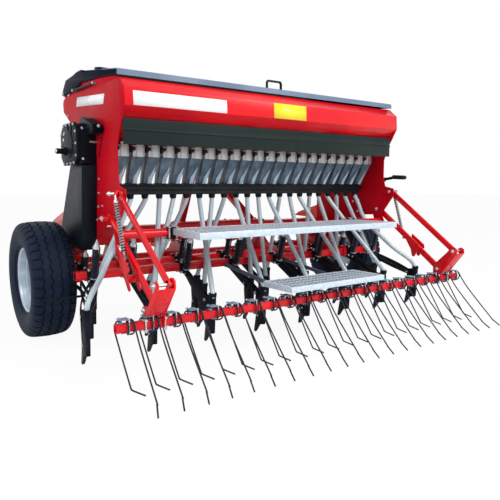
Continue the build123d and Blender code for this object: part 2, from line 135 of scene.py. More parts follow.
class Finish(Nodes):
    """A material."""

    def __init__(self, name):
        self.material = bpy.data.materials.new(name)
        self.material.use_nodes = True
        super().__init__(self.material.node_tree)
        self.shader = self.tree.nodes["Principled BSDF"]

    def place(self):
        return self.node("ShaderNodeTexCoord", output="Object")

    def height(self):
        return self.node("ShaderNodeSeparateXYZ", {}, {0: self.place()}, 2)

    def noise(self, scale, detail=3.0, stretch=(1.0, 1.0, 1.0)):
        where = self.node("ShaderNodeMapping", {}, {"Vector": self.place(), "Scale": stretch})
        return self.node("ShaderNodeTexNoise", {}, {"Vector": where, "Scale": scale, "Detail": detail})

    def mix(self, share, first, second):
        """The first colour where share is 0, the second where it is 1."""
        return self.node("ShaderNodeMix", {"data_type": "RGBA"}, {0: share, 6: first, 7: second}, 2)

    def bump(self, height, distance, strength=1.0):
        inputs = {"Height": height, "Distance": distance, "Strength": strength}
        return self.node("ShaderNodeBump", {}, inputs)

    def set(self, **sockets):
        for key, value in sockets.items():
            self.feed(self.shader.inputs[key.replace("_", " ")], value)
        return self.material


# Finishes
def gloss_enamel(name, colour, deep, rough, shine):
    """Sprayed enamel: faint cloudiness, orange peel, a little dust low down."""
    paint = Finish(name)
    tint = paint.mix(paint.noise(3.0, 2.0).above(0.35, 0.7), deep, colour)
    dust = (1.0 - paint.height().above(0.1, 0.7)) * paint.noise(14.0).above(0.45, 0.75)
    return paint.set(
        Base_Color=paint.mix(dust * 0.05, tint, (0.25, 0.22, 0.2)),
        Roughness=dust * 0.35 + paint.noise(40.0).above(0.3, 0.8) * 0.06 + rough,
        Specular_IOR_Level=shine,
        Normal=paint.bump(paint.noise(170.0, 1.0), 0.00012),
    )


RED = gloss_enamel("red_enamel", (0.72, 0.006, 0.01), (0.58, 0.003, 0.01), 0.2, 0.3)
# A darker copy of the red enamel: painted shade on the side plates, which face away from the light.
SHADED_SIDE_RED = gloss_enamel("side_red_painted_shade", (0.5, 0.005, 0.014), (0.42, 0.003, 0.011), 0.32, 0.03)
BLACK = gloss_enamel("black_enamel", (0.009, 0.012, 0.018), (0.004, 0.006, 0.01), 0.34, 0.06)
FLAP_GREY = gloss_enamel("flap_enamel", (0.013, 0.022, 0.021), (0.01, 0.017, 0.017), 0.4, 0.12)
LID_BLACK = gloss_enamel("lid_enamel", (0.006, 0.01, 0.022), (0.004, 0.007, 0.016), 0.3, 0.01)
# Pale blue-grey laid over the black lid's top and rear lip: a painted reflection.
LID_PAINTED_REFLECTION = gloss_enamel("lid_painted_reflection", (0.17, 0.23, 0.32), (0.12, 0.17, 0.25), 0.3, 0.2)


def black_plastic():
    plastic = Finish("black_plastic")
    patch = plastic.noise(9.0).above(0.3, 0.8)
    grain = plastic.noise(320.0, 2.0)
    return plastic.set(
        Base_Color=plastic.mix(patch, (0.005, 0.006, 0.008), (0.012, 0.014, 0.018)),
        Roughness=grain * 0.15 + 0.36,
        Specular_IOR_Level=0.16,
        Normal=plastic.bump(grain, 0.00015),
    )


def galvanised(name, pale, dark, rough, metal=0.85):
    """Zinc bath steel with its patchwork of crystals."""
    zinc = Finish(name)
    cells = zinc.node("ShaderNodeTexVoronoi", {}, {"Vector": zinc.place(), "Scale": 85.0}, 1)
    flake = zinc.node("ShaderNodeSeparateColor", {}, {0: cells}, 0)
    streak = zinc.noise(60.0, 3.0, (0.3, 1.0, 1.0))
    return zinc.set(
        Base_Color=zinc.mix(flake * 0.6 + streak * 0.4, dark, pale),
        Metallic=metal,
        Roughness=flake * 0.14 + streak * 0.1 + rough,
        Normal=zinc.bump(streak, 0.0001),
    )


ZINC_BOLT = galvanised("zinc_bolts", (0.72, 0.74, 0.76), (0.42, 0.44, 0.47), 0.22)
BOARD_ZINC = galvanised("board_zinc", (0.62, 0.71, 0.78), (0.46, 0.55, 0.64), 0.34, 0.25)
# Dark zinc: painted shade on the walls under the board slots; the board brackets take it too.
SLOT_SHADE_ZINC = galvanised("slot_painted_shade_zinc", (0.1, 0.14, 0.2), (0.05, 0.075, 0.12), 0.4, 0.25)
PLATE_ZINC = galvanised("clamp_zinc", (0.26, 0.36, 0.47), (0.13, 0.2, 0.29), 0.32, 0.4)
HOUSING_ZINC = galvanised("housing_plate", (0.62, 0.62, 0.62), (0.45, 0.46, 0.47), 0.38)


def spring_wire():
    wire = Finish("spring_wire")
    scale = wire.noise(70.0, 4.0)
    return wire.set(
        Base_Color=wire.mix(scale.above(0.3, 0.75), (0.006, 0.01, 0.02), (0.016, 0.024, 0.04)),
        Specular_IOR_Level=0.2,
        Roughness=scale * 0.2 + 0.28,
    )


WIRE = spring_wire()
PLASTIC = black_plastic()


def clear_plastic(name, colour, deep, alpha, rough):
    """Milky translucent moulding with streaks. The pale, denser copy is a painted highlight at the lower
    right of each chute.
    """
    clear = Finish(name)
    streak = clear.noise(26.0, 3.0, (1.0, 1.0, 0.15))
    return clear.set(
        Base_Color=clear.mix(streak.above(0.3, 0.75), deep, colour),
        Roughness=streak * 0.12 + rough,
        Specular_IOR_Level=0.3,
        Alpha=alpha,
    )


CHUTE = clear_plastic("chute_plastic", (0.13, 0.2, 0.27), (0.05, 0.09, 0.13), 0.86, 0.16)
# Pale, denser copy: a painted highlight at the lower right of each chute.
CHUTE_PAINTED_HIGHLIGHT = clear_plastic("chute_painted_highlight", (0.46, 0.61, 0.72), (0.3, 0.44, 0.55), 0.95, 0.22)


def tube_plastic():
    tube = Finish("seed_tube_plastic")
    where = {"Vector": tube.place(), "Scale": 60.0}
    rings = tube.node("ShaderNodeTexWave", {"bands_direction": "Z"}, where, 1)
    cloud = tube.noise(18.0, 2.0)
    # Darker in cloudy patches towards the bottom.
    low_darkening = (1.0 - tube.height().above(0.3, 0.9)) * cloud.above(0.4, 0.7)
    return tube.set(
        Base_Color=tube.mix(low_darkening * 0.35 + cloud * 0.25, (0.44, 0.54, 0.6), (0.25, 0.32, 0.37)),
        Roughness=cloud * 0.1 + 0.2,
        Coat_Weight=0.2,
        Normal=tube.bump(rings, 0.0002, 0.4),
    )


TUBE = tube_plastic()


def tyre_rubber():
    rubber = Finish("tyre_rubber")
    patch = rubber.noise(7.0, 4.0)
    # Lighter bluish patches, more so low down: dust, and partly a painted sheen for the tread's bluish
    # highlights.
    dust = patch.above(0.45, 0.8) * 0.35 + (1.0 - rubber.height().above(0.0, 0.25)) * 0.15
    return rubber.set(
        Base_Color=rubber.mix(dust, (0.007, 0.013, 0.028), (0.026, 0.04, 0.072)),
        Specular_IOR_Level=0.08,
        Roughness=patch * 0.2 + 0.42,
        Normal=rubber.bump(rubber.noise(260.0, 2.0), 0.0003),
    )


RUBBER = tyre_rubber()


def rim_paint():
    silver = Finish("rim_silver")
    patch = silver.noise(11.0, 3.0)
    return silver.set(
        Base_Color=silver.mix(patch.above(0.35, 0.7), (0.36, 0.44, 0.53), (0.5, 0.58, 0.67)),
        Metallic=0.4,
        Roughness=patch * 0.12 + 0.26,
        Coat_Weight=0.3,
        Normal=silver.bump(silver.noise(190.0, 1.0), 0.0001),
    )


RIM = rim_paint()


def label_film(name, colour, dull):
    film = Finish(name)
    scuff = film.noise(22.0, 4.0)
    return film.set(
        Base_Color=film.mix(scuff.above(0.55, 0.85) * 0.4, colour, dull),
        Roughness=scuff * 0.15 + 0.22,
    )


WHITE_FILM = label_film("white_film", (0.86, 0.89, 0.9), (0.7, 0.72, 0.73))
YELLOW_FILM = label_film("yellow_film", (0.86, 0.68, 0.02), (0.62, 0.48, 0.03))


def worn_toe():
    toe = Finish("worn_toe")
    rub = (1.0 - toe.height().above(0.01, 0.13)) * toe.noise(50.0, 4.0).above(0.35, 0.65)
    return toe.set(
        Base_Color=toe.mix(rub * 0.5, (0.008, 0.009, 0.011), (0.07, 0.07, 0.07)),
        Specular_IOR_Level=0.2,
        Metallic=rub * 0.6,
        Roughness=toe.noise(90.0) * 0.2 + 0.3,
    )


WORN_TOE = worn_toe()
SPRING_GREY = galvanised("wound_spring", (0.4, 0.4, 0.41), (0.2, 0.21, 0.23), 0.36, 0.5)


# Shapes
def bevelled(verts, faces, width, angle):
    """The same shell with its sharp edges rounded off."""
    mesh = bmesh.new()
    points = [mesh.verts.new(v) for v in verts]
    for face in faces:
        mesh.faces.new([points[i] for i in face])
    bmesh.ops.recalc_face_normals(mesh, faces=mesh.faces)
    sharp = [e for e in mesh.edges if len(e.link_faces) == 2 and e.calc_face_angle(0) > radians(angle)]
    bmesh.ops.bevel(
        mesh, geom=sharp, offset=width, offset_type="OFFSET", segments=2, profile=0.5,
        affect="EDGES", clamp_overlap=True,
    )
    mesh.verts.index_update()
    out = [tuple(v.co) for v in mesh.verts], [[v.index for v in f.verts] for f in mesh.faces]
    mesh.free()
    return out


def ring_faces(rings, sides, closed_path=False):
    """Quads between rings of the same number of points, and two end caps on an open path."""
    faces = []
    for r in range(rings if closed_path else rings - 1):
        a, b = r * sides, (r + 1) % rings * sides
        for s in range(sides):
            t = (s + 1) % sides
            faces.append([a + s, a + t, b + t, b + s])
    if not closed_path:
        faces.append(list(range(sides))[::-1])
        faces.append([(rings - 1) * sides + s for s in range(sides)])
    return faces


def frames_along(points):
    """A side and an up direction at each point of a path, turning as little as possible."""
    last = len(points) - 1
    runs = [(points[min(i + 1, last)] - points[max(i - 1, 0)]).normalized() for i in range(last + 1)]
    side = runs[0].cross(Vector(UP))
    if side.length < 0.05:
        side = runs[0].cross(Vector(AHEAD))
    side.normalize()
    frames = []
    for run in runs:
        side = (side - run * side.dot(run)).normalized()
        frames.append((side, run.cross(side)))
    return frames


def span(side, inner, outer):
    """The two X of a stretch on one side of the drill, the lower one first."""
    return sorted((side * inner, side * outer))


class Shell:
    """Gathers the parts of one piece and makes it a mesh."""

    def __init__(self):
        self.verts = []
        self.faces = []

    def add(self, verts, faces, round_off=0.0, angle=25.0):
        """A closed shell, with the edges that turn by more than the angle rounded off."""
        if round_off:
            verts, faces = bevelled(verts, faces, round_off, angle)
        base = len(self.verts)
        self.verts += verts
        self.faces += [[base + i for i in face] for face in faces]

    def block(self, x0, x1, y0, y1, z0, z1, round_off=1.5):
        verts = [(x, y, z) for x in (x0, x1) for y in (y0, y1) for z in (z0, z1)]
        faces = [[0, 1, 3, 2], [4, 6, 7, 5], [0, 4, 5, 1], [2, 3, 7, 6], [0, 2, 6, 4], [1, 5, 7, 3]]
        self.add(verts, faces, round_off)

    def plate(self, x, thickness, outline, round_off=1.0):
        """Flat plate across X, outline in Y, Z."""
        verts = [(across, y, z) for across in (x, x + thickness) for y, z in outline]
        self.add(verts, ring_faces(2, len(outline)), round_off)

    def side_plate(self, side, inner, outer, outline, round_off=1.0):
        """Plate across X on one side of the drill."""
        self.plate(min(side * inner, side * outer), outer - inner, outline, round_off)

    def rod(self, start, end, radius, sides=16):
        self.pipe([start, end], radius, sides)

    def cross_rod(self, x0, x1, y, z, radius, sides=20):
        """Rod along X."""
        self.rod((x0, y, z), (x1, y, z), radius, sides)

    def pipe(self, points, radius, sides=12):
        """Round rod through the points, with one radius or one for each point."""
        points = [Vector(p) for p in points]
        radii = radius if isinstance(radius, list) else [radius] * len(points)
        verts = []
        for point, (side, up), r in zip(points, frames_along(points), radii):
            for s in range(sides):
                turn = tau * s / sides
                verts.append(point + side * (r * cos(turn)) + up * (r * sin(turn)))
        self.add(verts, ring_faces(len(points), sides))

    def bar(self, points, width, depth, round_off=2.0, across=RIGHT):
        """Rectangular bar along a path, width along the given direction."""
        points = [Vector(p) for p in points]
        across = Vector(across)
        count = len(points)
        verts = []
        for i, point in enumerate(points):
            back = (point - points[i - 1]).normalized() if i else None
            ahead = (points[i + 1] - point).normalized() if i < count - 1 else None
            run = ((back or ahead) + (ahead or back)).normalized()
            side = (across - run * across.dot(run)).normalized()
            up = side.cross(run)
            stretch = 1 / max(0.4, run.dot(back or ahead))
            for a, b in CORNERS:
                verts.append(point + side * (a * width / 2) + up * (b * depth / 2 * stretch))
        self.add(verts, ring_faces(count, 4), round_off, 40.0)

    def pierced(self, point, across, along, is_open, wraps=False):
        """Thick sheet over a grid of points, point(i, j, face) on face 0 or 1, without the open cells."""
        verts = [point(i, j, face) for face in (0, 1) for i in range(across) for j in range(along)]
        layer = across * along
        spans = across if wraps else across - 1
        closed = {(i, j) for i in range(spans) for j in range(along - 1) if not is_open(i, j)}
        faces = []
        for i, j in sorted(closed):
            before, after = ((i - 1) % across, (i + 1) % across) if wraps else (i - 1, i + 1)
            a, b = i * along + j, after * along + j
            c, d = b + 1, a + 1
            faces += [[a, b, c, d], [layer + d, layer + c, layer + b, layer + a]]
            around = (((i, j - 1), a, b), ((after, j), b, c), ((i, j + 1), c, d), ((before, j), d, a))
            for near, p, q in around:
                if near not in closed:
                    faces.append([q, p, layer + p, layer + q])
        self.add(verts, faces)

    def lathe(self, profile, centre, axis="X", sides=64):
        """Closed profile of (along the axis, radius) turned round X or Z."""
        verts = []
        for s in range(sides):
            turn = tau * s / sides
            for along, r in profile:
                a, b = r * cos(turn), r * sin(turn)
                local = (along, a, b) if axis == "X" else (a, b, along)
                verts.append([c + d for c, d in zip(centre, local)])
        self.add(verts, ring_faces(sides, len(profile), closed_path=True))

    def bolt(self, at, toward, size, shank=0.0):
        """Washer, hexagon head and thread end on a surface, pointing out of it."""
        at, out = Vector(at), Vector(toward)
        self.rod(at, at + out * size * 0.12, size * 1.05, 20)
        head = [at + out * size * 0.12, at + out * size * 0.62, at + out * size * 0.75]
        self.pipe(head, [size * 0.86, size * 0.86, size * 0.66], 6)
        if shank:
            self.rod(at + out * size * 0.7, at + out * (size * 0.7 + shank), size * 0.46, 12)

    def coil(self, start, end, radius, wire, turns, sides=8, steps=14):
        """Wound wire along a line that lies across X."""
        run = (end - start).normalized()
        side = run.cross(Vector(RIGHT))
        up = run.cross(side)
        count = ceil(turns * steps)
        path = []
        for i in range(count + 1):
            turn = tau * turns * i / count
            middle = start.lerp(end, i / count)
            path.append(middle + side * (radius * cos(turn)) + up * (radius * sin(turn)))
        self.pipe(path, wire, sides)

    def make(self, name, finish, slot, stands_for=(), body="chassis", smooth=35.0):
        mesh = bpy.data.meshes.new(name)
        mesh.from_pydata([metres(*v) for v in self.verts], [], self.faces)
        work = bmesh.new()
        work.from_mesh(mesh)
        bmesh.ops.recalc_face_normals(work, faces=work.faces)
        work.to_mesh(mesh)
        work.free()
        mesh.shade_smooth()
        mesh.set_sharp_from_angle(angle=radians(smooth))
        mesh.materials.append(finish)
        piece = bpy.data.objects.new(name, mesh)
        link(piece)
        if body:
            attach(piece, body)
        if stands_for:
            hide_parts(*stands_for)
        return piece


def arc(points, steps):
    """A smooth curve through the given points."""
    points = [Vector(p) for p in points]
    out = []
    for i in range(len(points) - 1):
        p0 = points[max(i - 1, 0)]
        p1, p2 = points[i], points[i + 1]
        p3 = points[min(i + 2, len(points) - 1)]
        for s in range(steps):
            t = s / steps
            out.append(
                0.5 * (2 * p1 + (p2 - p0) * t + (2 * p0 - 5 * p1 + 4 * p2 - p3) * t * t
                       + (3 * p1 - p0 - 3 * p2 + p3) * t ** 3)
            )
    out.append(points[-1])
    return out


def finish_cad(name, finish, edge):
    """A CAD solid whose shape is right: its finish, and softened edges."""
    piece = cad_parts[name]
    piece.data.materials.clear()
    piece.data.materials.append(finish)
    piece.data.shade_smooth()
    weld = piece.modifiers.new("weld", "WELD")
    weld.merge_threshold = 0.00001
    if edge:
        soft = piece.modifiers.new("edge", "BEVEL")
        soft.width = edge * MM
        soft.segments = 2
        soft.limit_method = "ANGLE"
        soft.angle_limit = radians(35)
        soft.harden_normals = True


# Carried-over solids
for name, finish, edge in [
    ("hopper", RED, 0.8),
    # The side plates take the darker red copy: painted shade.
    ("cheeks", SHADED_SIDE_RED, 1.5),
    ("main_beam", RED, 6.0),
    ("hangers", RED, 1.5),
    ("headstock", RED, 2.0),
    ("hitch_pins", ZINC_BOLT, 1.0),
    ("wheel_legs", RED, 2.0),
    # Same dark zinc as the painted shade in the board slots.
    ("board_brackets", SLOT_SHADE_ZINC, 0.8),
    ("drive_shafts", ZINC_BOLT, 0.5),
    ("gearbox", BLACK, 4.0),
    ("gearbox_cover", BLACK, 3.0),
    ("drive_cover", BLACK, 3.0),
    ("name_plates", WHITE_FILM, 0.0),
    ("centre_plate", YELLOW_FILM, 0.0),
    ("flap", FLAP_GREY, 0.8),
]:
    finish_cad(name, finish, edge)


# Rows: outlets under the hopper, coulters on three tubes
ROWS = 22
ROW_PITCH = 129.0
OUTLET_PITCH = 98.0
MID_ROW = (ROWS - 1) / 2
TUBE_Z = 440.0
# rows, tube y, tip y
RANKS = [
    ((0, 3, 6, 9, 12, 15, 18, 21), -450.0, -790.0),
    ((1, 4, 7, 10, 11, 14, 17, 20), -130.0, -470.0),
    ((2, 5, 8, 13, 16, 19), 190.0, -150.0),
]
# Outer rows whose clamp sits further in than the row: row, clamp x
SHIFTED_CLAMPS = {0: -1195.0, 1: -1150.0, 2: -1085.0, 19: 1085.0, 20: 1150.0, 21: 1195.0}
# Rows whose arms are forked wide, so far as the row beside them allows: row, spread
FORK_SPREAD = {0: 26.0, 1: 16.0, 2: 12.0, 19: 12.0, 20: 16.0, 21: 26.0}
# Under the drive cover the springs are shorter: row, top
SPRING_TOPS = {1: 556.0, 20: 556.0}
# Side plates of the hopper
CHEEK_IN = 1099.0
CHEEK_OUT = 1107.0


def outlet_x(row):
    return (row - MID_ROW) * OUTLET_PITCH


def boot_x(row):
    return (row - MID_ROW) * ROW_PITCH


# row, clamp x, boot x, tube y, tip y
COULTERS = [
    (row, SHIFTED_CLAMPS.get(row, boot_x(row)), boot_x(row), tube_y, tip_y)
    for rows, tube_y, tip_y in RANKS
    for row in rows
]


# Metering housings: bright plate on the right, black slide on the left of each
def housings():
    zinc, black = Shell(), Shell()
    for row in range(ROWS):
        x = outlet_x(row)
        zinc.block(x - 35, x + 35, -590, -488, 1141, 1206, 2)
        zinc.plate(x - 12, 47, [(-590, 1141), (-594, 1140), (-594, 1224), (-590, 1225)], 0.8)
        zinc.plate(x + 32, 3, [(-600, 1150), (-590, 1142), (-590, 1212), (-600, 1204)], 0.6)
        zinc.bolt((x - 22, -590, 1152), BACK, 5)
        black.block(x - 50, x - 33, -598, -520, 1166, 1200, 4)
        black.block(x - 44, x - 20, -600, -588, 1176, 1198, 3)
    zinc.make("metering_housings", HOUSING_ZINC, "galvanised", ["seed_housings"])
    black.make("metering_slides", PLASTIC, "black_paint")


# Clear chutes, each with a pale wedge at its lower right that is a painted highlight
def chutes():
    clear, lip = Shell(), Shell()
    top_z, foot_z = 1140.0, 980.0
    # z, y, half width, half depth
    rings = [(foot_z, -455, 24, 28), (1030, -487, 32, 31), (top_z, -550, 42, 38)]
    # dx, z, how far it stands off the chute
    highlight_wedge = [(29, 1092, 1.0), (25, 982, 12.0), (-3, 982, 12.0), (-3, 1022, 8.0)]
    highlight_y, slope, sheet = -588, 0.656, 5.0
    for row in range(ROWS):
        x = outlet_x(row)
        verts = [
            (x + a * half_width, y + b * half_depth, z)
            for z, y, half_width, half_depth in rings
            for a, b in CORNERS
        ]
        clear.add(verts, ring_faces(3, 4), 3.0, 40.0)
        # The pale wedge, a painted highlight; the lip shell holds these wedges, not a real lip.
        verts = [
            (x + dx, highlight_y + (top_z - z) * slope - proud + deep, z)
            for deep in (0.0, sheet)
            for dx, z, proud in highlight_wedge
        ]
        lip.add(verts, ring_faces(2, 4), 0.8)
    clear.make("seed_chutes", CHUTE, "clear_plastic", ["chutes"])
    lip.make("chute_highlight_wedges", CHUTE_PAINTED_HIGHLIGHT, "clear_plastic")


# Ribbed black bar that the chutes stand in, with a cup under each
def funnel_bar():
    bar = Shell()
    half = 1045.0
    rear = [(-492, 980), (-492, 971), (-486, 969), (-486, 957), (-491, 955), (-491, 945), (-486, 943)]
    rear += [(-486, 929), (-492, 927), (-492, 915)]
    bar.plate(-half, 2 * half, [*rear, (-408, 915), (-408, 980)])
    for side in SIDES:
        bar.block(*span(side, half, CHEEK_IN), -470, -430, 940, 970, 3)
        bar.block(*span(side, half, half + 7), -486, -414, 922, 976, 2)
    for row in range(ROWS):
        x = outlet_x(row)
        bar.block(x - 29, x + 29, -498, -416, 978, 986, 2)
        bar.lathe([(892, 16.5), (890, 19), (898, 21), (915, 23), (915, 17)], (x, -450, 0), "Z", 20)
    bar.make("funnel_bar_ribbed", PLASTIC, "black_paint", ["funnel_bar", "funnel_cups"])


# Seed tubes from the cups to the boots; the outermost bend under the side plates
def seed_tubes():
    tubes, collars = Shell(), Shell()
    for row, clamp_x, x, tube_y, tip_y in COULTERS:
        start = Vector((outlet_x(row), -450, 912))
        foot = Vector((x, tip_y - 50, 288))
        run = foot - start
        drop = Vector((0, 0, run.z)) * 0.05
        points = [start, start + run * 0.07 + drop]
        if row in (0, ROWS - 1):
            elbow = Vector(((1 if row else -1) * 1064, -560, 690))
            points = [start, start.lerp(elbow, 0.4), elbow, elbow.lerp(foot, 0.5)]
        points += [foot - run * 0.07 - drop, foot]
        path = arc(points, 8)
        tubes.pipe(path, 15.5, 14)
        for share in (0.34, 0.36):
            at = path[int(len(path) * share)]
            collars.rod(at, at + run.normalized() * 3, 16.5, 14)
    tubes.make("seed_tubes_bent", TUBE, "zinc_steel", ["seed_tubes"], smooth=50.0)
    collars.make("seed_tube_beads", TUBE, "zinc_steel")


# Coulters: bolted clamp, pair of flat arms, boot with its hose cup and toe
# Outlines are y from the tip, z
BOOT = [
    (-66, 292), (-30, 300), (10, 296), (22, 270), (27, 235), (20, 150), (14, 100), (-10, 62),
    (-58, 70), (-64, 150),
]
BOOT_CHEEK = [(-70, 240), (-8, 246), (-6, 176), (-66, 168)]
TOE = [(20, 150), (30, 90), (46, 12), (37, 1), (24, 14), (-8, 58), (-2, 96)]
# z, radius
HOSE_CUP = [(236, 15), (236, 21), (296, 22), (302, 25), (322, 25.5), (322, 18), (300, 16.5)]
# One coulter has a wide plate beside it
WIDE_ROW = 6
WIDE_PLATE = [(268, 395), (190, 395), (40, 392), (20, 300), (-72, 296), (-72, 196), (30, 190), (80, 240)]


def outline_at(tip_y, outline):
    return [(tip_y + y, z) for y, z in outline]


def coulters():
    cast, bolts, toes = Shell(), Shell(), Shell()
    for row, clamp_x, x, tube_y, tip_y in COULTERS:
        rear, front = tube_y - 38, tube_y + 36
        cast.block(clamp_x - 31, clamp_x + 31, rear, tube_y - 25.5, 399, 481, 3)
        cast.block(clamp_x - 27, clamp_x + 27, tube_y + 25.5, front, 402, 478, 3)
        cast.block(clamp_x - 31, clamp_x + 31, rear, tube_y + 20, 470, 480, 2)
        for bolt_x in (clamp_x - 21, clamp_x + 21):
            for z in (407, 475):
                bolts.rod((bolt_x, front + 8, z), (bolt_x, rear - 10, z), 5, 10)
                bolts.bolt((bolt_x, rear, z), BACK, 9)
                bolts.bolt((bolt_x, front, z), AHEAD, 9)
        cast.plate(clamp_x - 16, 32, outline_at(rear, [(2, 455), (2, 400), (-40, 384), (-46, 408)]), 3)
        start, end = Vector((clamp_x, tube_y - 50, 412)), Vector((x, tip_y - 5, 262))
        spread = FORK_SPREAD.get(row, 0.0)
        # share of the way, half distance of the two arms
        course = ((0.0, 12), (0.25, 12 + spread * 0.8), (0.62, 13 + spread), (1.0, 15))
        for side in SIDES:
            points = [start.lerp(end, share) + Vector((side * apart, 0, 0)) for share, apart in course]
            cast.bar(arc(points, 5), 8, 30)
        pivot = start.lerp(end, 0.12)
        cast.cross_rod(pivot.x - 22, pivot.x + 22, pivot.y, pivot.z, 9, 12)
        for share, apart, size in ((0.1, 16, 9), (0.93, 19, 10)):
            for side in SIDES:
                bolts.bolt(start.lerp(end, share) + Vector((side * apart, 0, 0)), (side, 0, 0), size)
        cast.plate(x - 12, 24, outline_at(tip_y, BOOT), 4)
        cast.plate(x - 16, 32, outline_at(tip_y, BOOT_CHEEK), 4)
        toes.plate(x - 9, 18, outline_at(tip_y, TOE), 3)
        cast.lathe(HOSE_CUP, (x, tip_y - 50, 0), "Z", 20)
        for side in SIDES:
            bolts.bolt((x + side * 13, tip_y - 2, 122), (side, 0, 0), 8)
        if row == WIDE_ROW:
            cast.plate(x - 20, 6, outline_at(tip_y, WIDE_PLATE), 1.5)
    cast.make("coulter_castings", BLACK, "black_paint", ["coulters"])
    bolts.make("coulter_bolts", ZINC_BOLT, "zinc_steel")
    toes.make("coulter_toes", WORN_TOE, "black_paint")


# Pressure springs on rods, with a bright cone to set each
def coulter_springs():
    wire, zinc = Shell(), Shell()
    for row, clamp_x, x, tube_y, tip_y in COULTERS:
        top_z = SPRING_TOPS.get(row, 640.0)
        foot_y = tube_y - 62
        lean = 0.3 if tube_y < 0 else 0.1
        foot = Vector((clamp_x, foot_y - 2, 430))
        top = Vector((clamp_x, foot_y - lean * (top_z - 426), top_z))
        run = (top - foot).normalized()
        length = (top - foot).length
        wire.coil(foot + run * 5, top - run * 30, 19.6, 4.3, length / 16.0)
        wire.rod(foot, top - run * 28, 8, 12)
        zinc.rod(foot - run * 2, foot + run * 3, 25, 24)
        zinc.pipe([top - run * 30, top - run * 24, top - run * 3, top], [23, 23, 11, 10], 20)
        zinc.rod(top, top + run * 9, 11, 6)
        zinc.rod(top, top + run * 24, 5.5, 12)
    wire.make("pressure_springs", WIRE, "spring_steel", ["coulter_springs"], smooth=50.0)
    zinc.make("spring_rods", ZINC_BOLT, "zinc_steel")


# Running boards: slotted tread, folded lips all round; the slot walls below are painted dark as shade
# middle, half length at the rear and at the front, front y, rear y, top z, lip, rows of slots
BOARDS = [
    (0.0, 806.0, 772.0, -700.0, -1086.0, 715.0, 38.0, 5),
    (28.0, 384.0, 384.0, -1056.0, -1322.0, 404.0, 32.0, 4),
]
SLOT_PITCH = 28.0
SLOT = 16.0
SLOT_WALL = 14.0
TREAD = 1.5
BOARD_EDGE = 13.0
RIB = 12.0
CLAMP_X = 768.0


def running_boards():
    sheet, shaded_walls = Shell(), Shell()
    for middle, half, front_half, front, rear, top, lip, rows in BOARDS:
        slots = int((2 * half - 2 * BOARD_EDGE) / SLOT_PITCH)
        start = -slots * SLOT_PITCH / 2 + (SLOT_PITCH - SLOT) / 2
        x_lines = [4 - half]
        for i in range(slots):
            x_lines += [start + i * SLOT_PITCH, start + i * SLOT_PITCH + SLOT]
        x_lines.append(half - 4)
        length = (front - rear - 2 * BOARD_EDGE) / rows
        y_lines = [rear + 2]
        for j in range(rows):
            row_y = rear + BOARD_EDGE + j * length
            y_lines += [row_y + RIB / 2, row_y + length - RIB / 2]
        y_lines.append(front - 2)
        squeeze = [1 + (front_half / half - 1) * (y - rear) / (front - rear) for y in y_lines]
        # A thin pale tread, and under it the slot walls in dark zinc: painted shade.
        for shell, upper, deep in ((sheet, top, TREAD), (shaded_walls, top - TREAD, SLOT_WALL)):
            shell.pierced(
                lambda i, j, face: (middle + x_lines[i] * squeeze[j], y_lines[j], upper - deep * face),
                len(x_lines), len(y_lines), lambda i, j: i % 2 == 1 and j % 2 == 1,
            )
        foot = top - lip
        sheet.block(middle - half, middle + half, rear, rear + 3, foot, top + 1, 1.0)
        sheet.block(middle - front_half, middle + front_half, front - 3, front, foot, top + 1, 1.0)
        shaded_walls.block(middle - half + 4, middle + half - 4, rear + 3, rear + 14, foot, foot + 3, 1.0)
        for side in SIDES:
            ends = [(half, rear + 1.5), (front_half, front - 1.5)]
            course = [(middle + side * (x - 1.5), y, top - lip / 2) for x, y in ends]
            sheet.bar(course, 3, lip + 1, 1.0)
    sheet.make("running_board_treads", BOARD_ZINC, "galvanised", ["running_boards"])
    shaded_walls.make("running_board_shaded_slots", SLOT_SHADE_ZINC, "galvanised")


# Clamps on the ends of the upper board, bolts of both boards, and the tube that carries them
def board_clamps():
    clamp, bolts = Shell(), Shell()
    for x in (-CLAMP_X, CLAMP_X):
        clamp.block(x - 32, x + 32, -704, -630, 716, 719, 1)
        clamp.block(x - 14, x + 14, -706, -628, 716, 724, 3)
        clamp.block(x - 14, x + 14, -704, -630, 656, 664, 3)
        clamp.block(x - 14, x + 14, -706, -692, 660, 720, 3)
        clamp.block(x - 32, x + 32, -704, -630, 652, 657, 2)
        for bolt_x in (x - 24, x + 24):
            for y in (-698, -634):
                bolts.rod((bolt_x, y, 646), (bolt_x, y, 728), 5, 10)
                bolts.bolt((bolt_x, y, 719), UP, 11)
                bolts.bolt((bolt_x, y, 652), DOWN, 10)
    for top, columns, lines in ((715, (-600, 0, 600), (-1040, -730)), (404, (-258, 258), (-1290, -1080))):
        for x in columns:
            for y in lines:
                bolts.bolt((x, y, top), UP, 8)
    clamp.make("board_clamps", BLACK, "black_paint")
    bolts.make("board_bolts", ZINC_BOLT, "zinc_steel")
    tube = Shell()
    tube.cross_rod(-CHEEK_IN, CHEEK_IN, -665, 690, 25, 32)
    tube.make("board_cross_tube", RED, "red_paint", ["board_tube"])


# Wheels
WHEEL_X = 1368.0
AXLE_Z = 372.0
PITCHES = 40
LUG_DEPTH = 10.0
PITCH_LENGTH = tau * 360 / PITCHES
# Along the tread within one pitch: the groove between two lugs, then the lug
TREAD_STEPS = (-7.0, -4.5, 0.0, 4.5, 7.0, 15.0, 24.0, 33.0, 41.0)
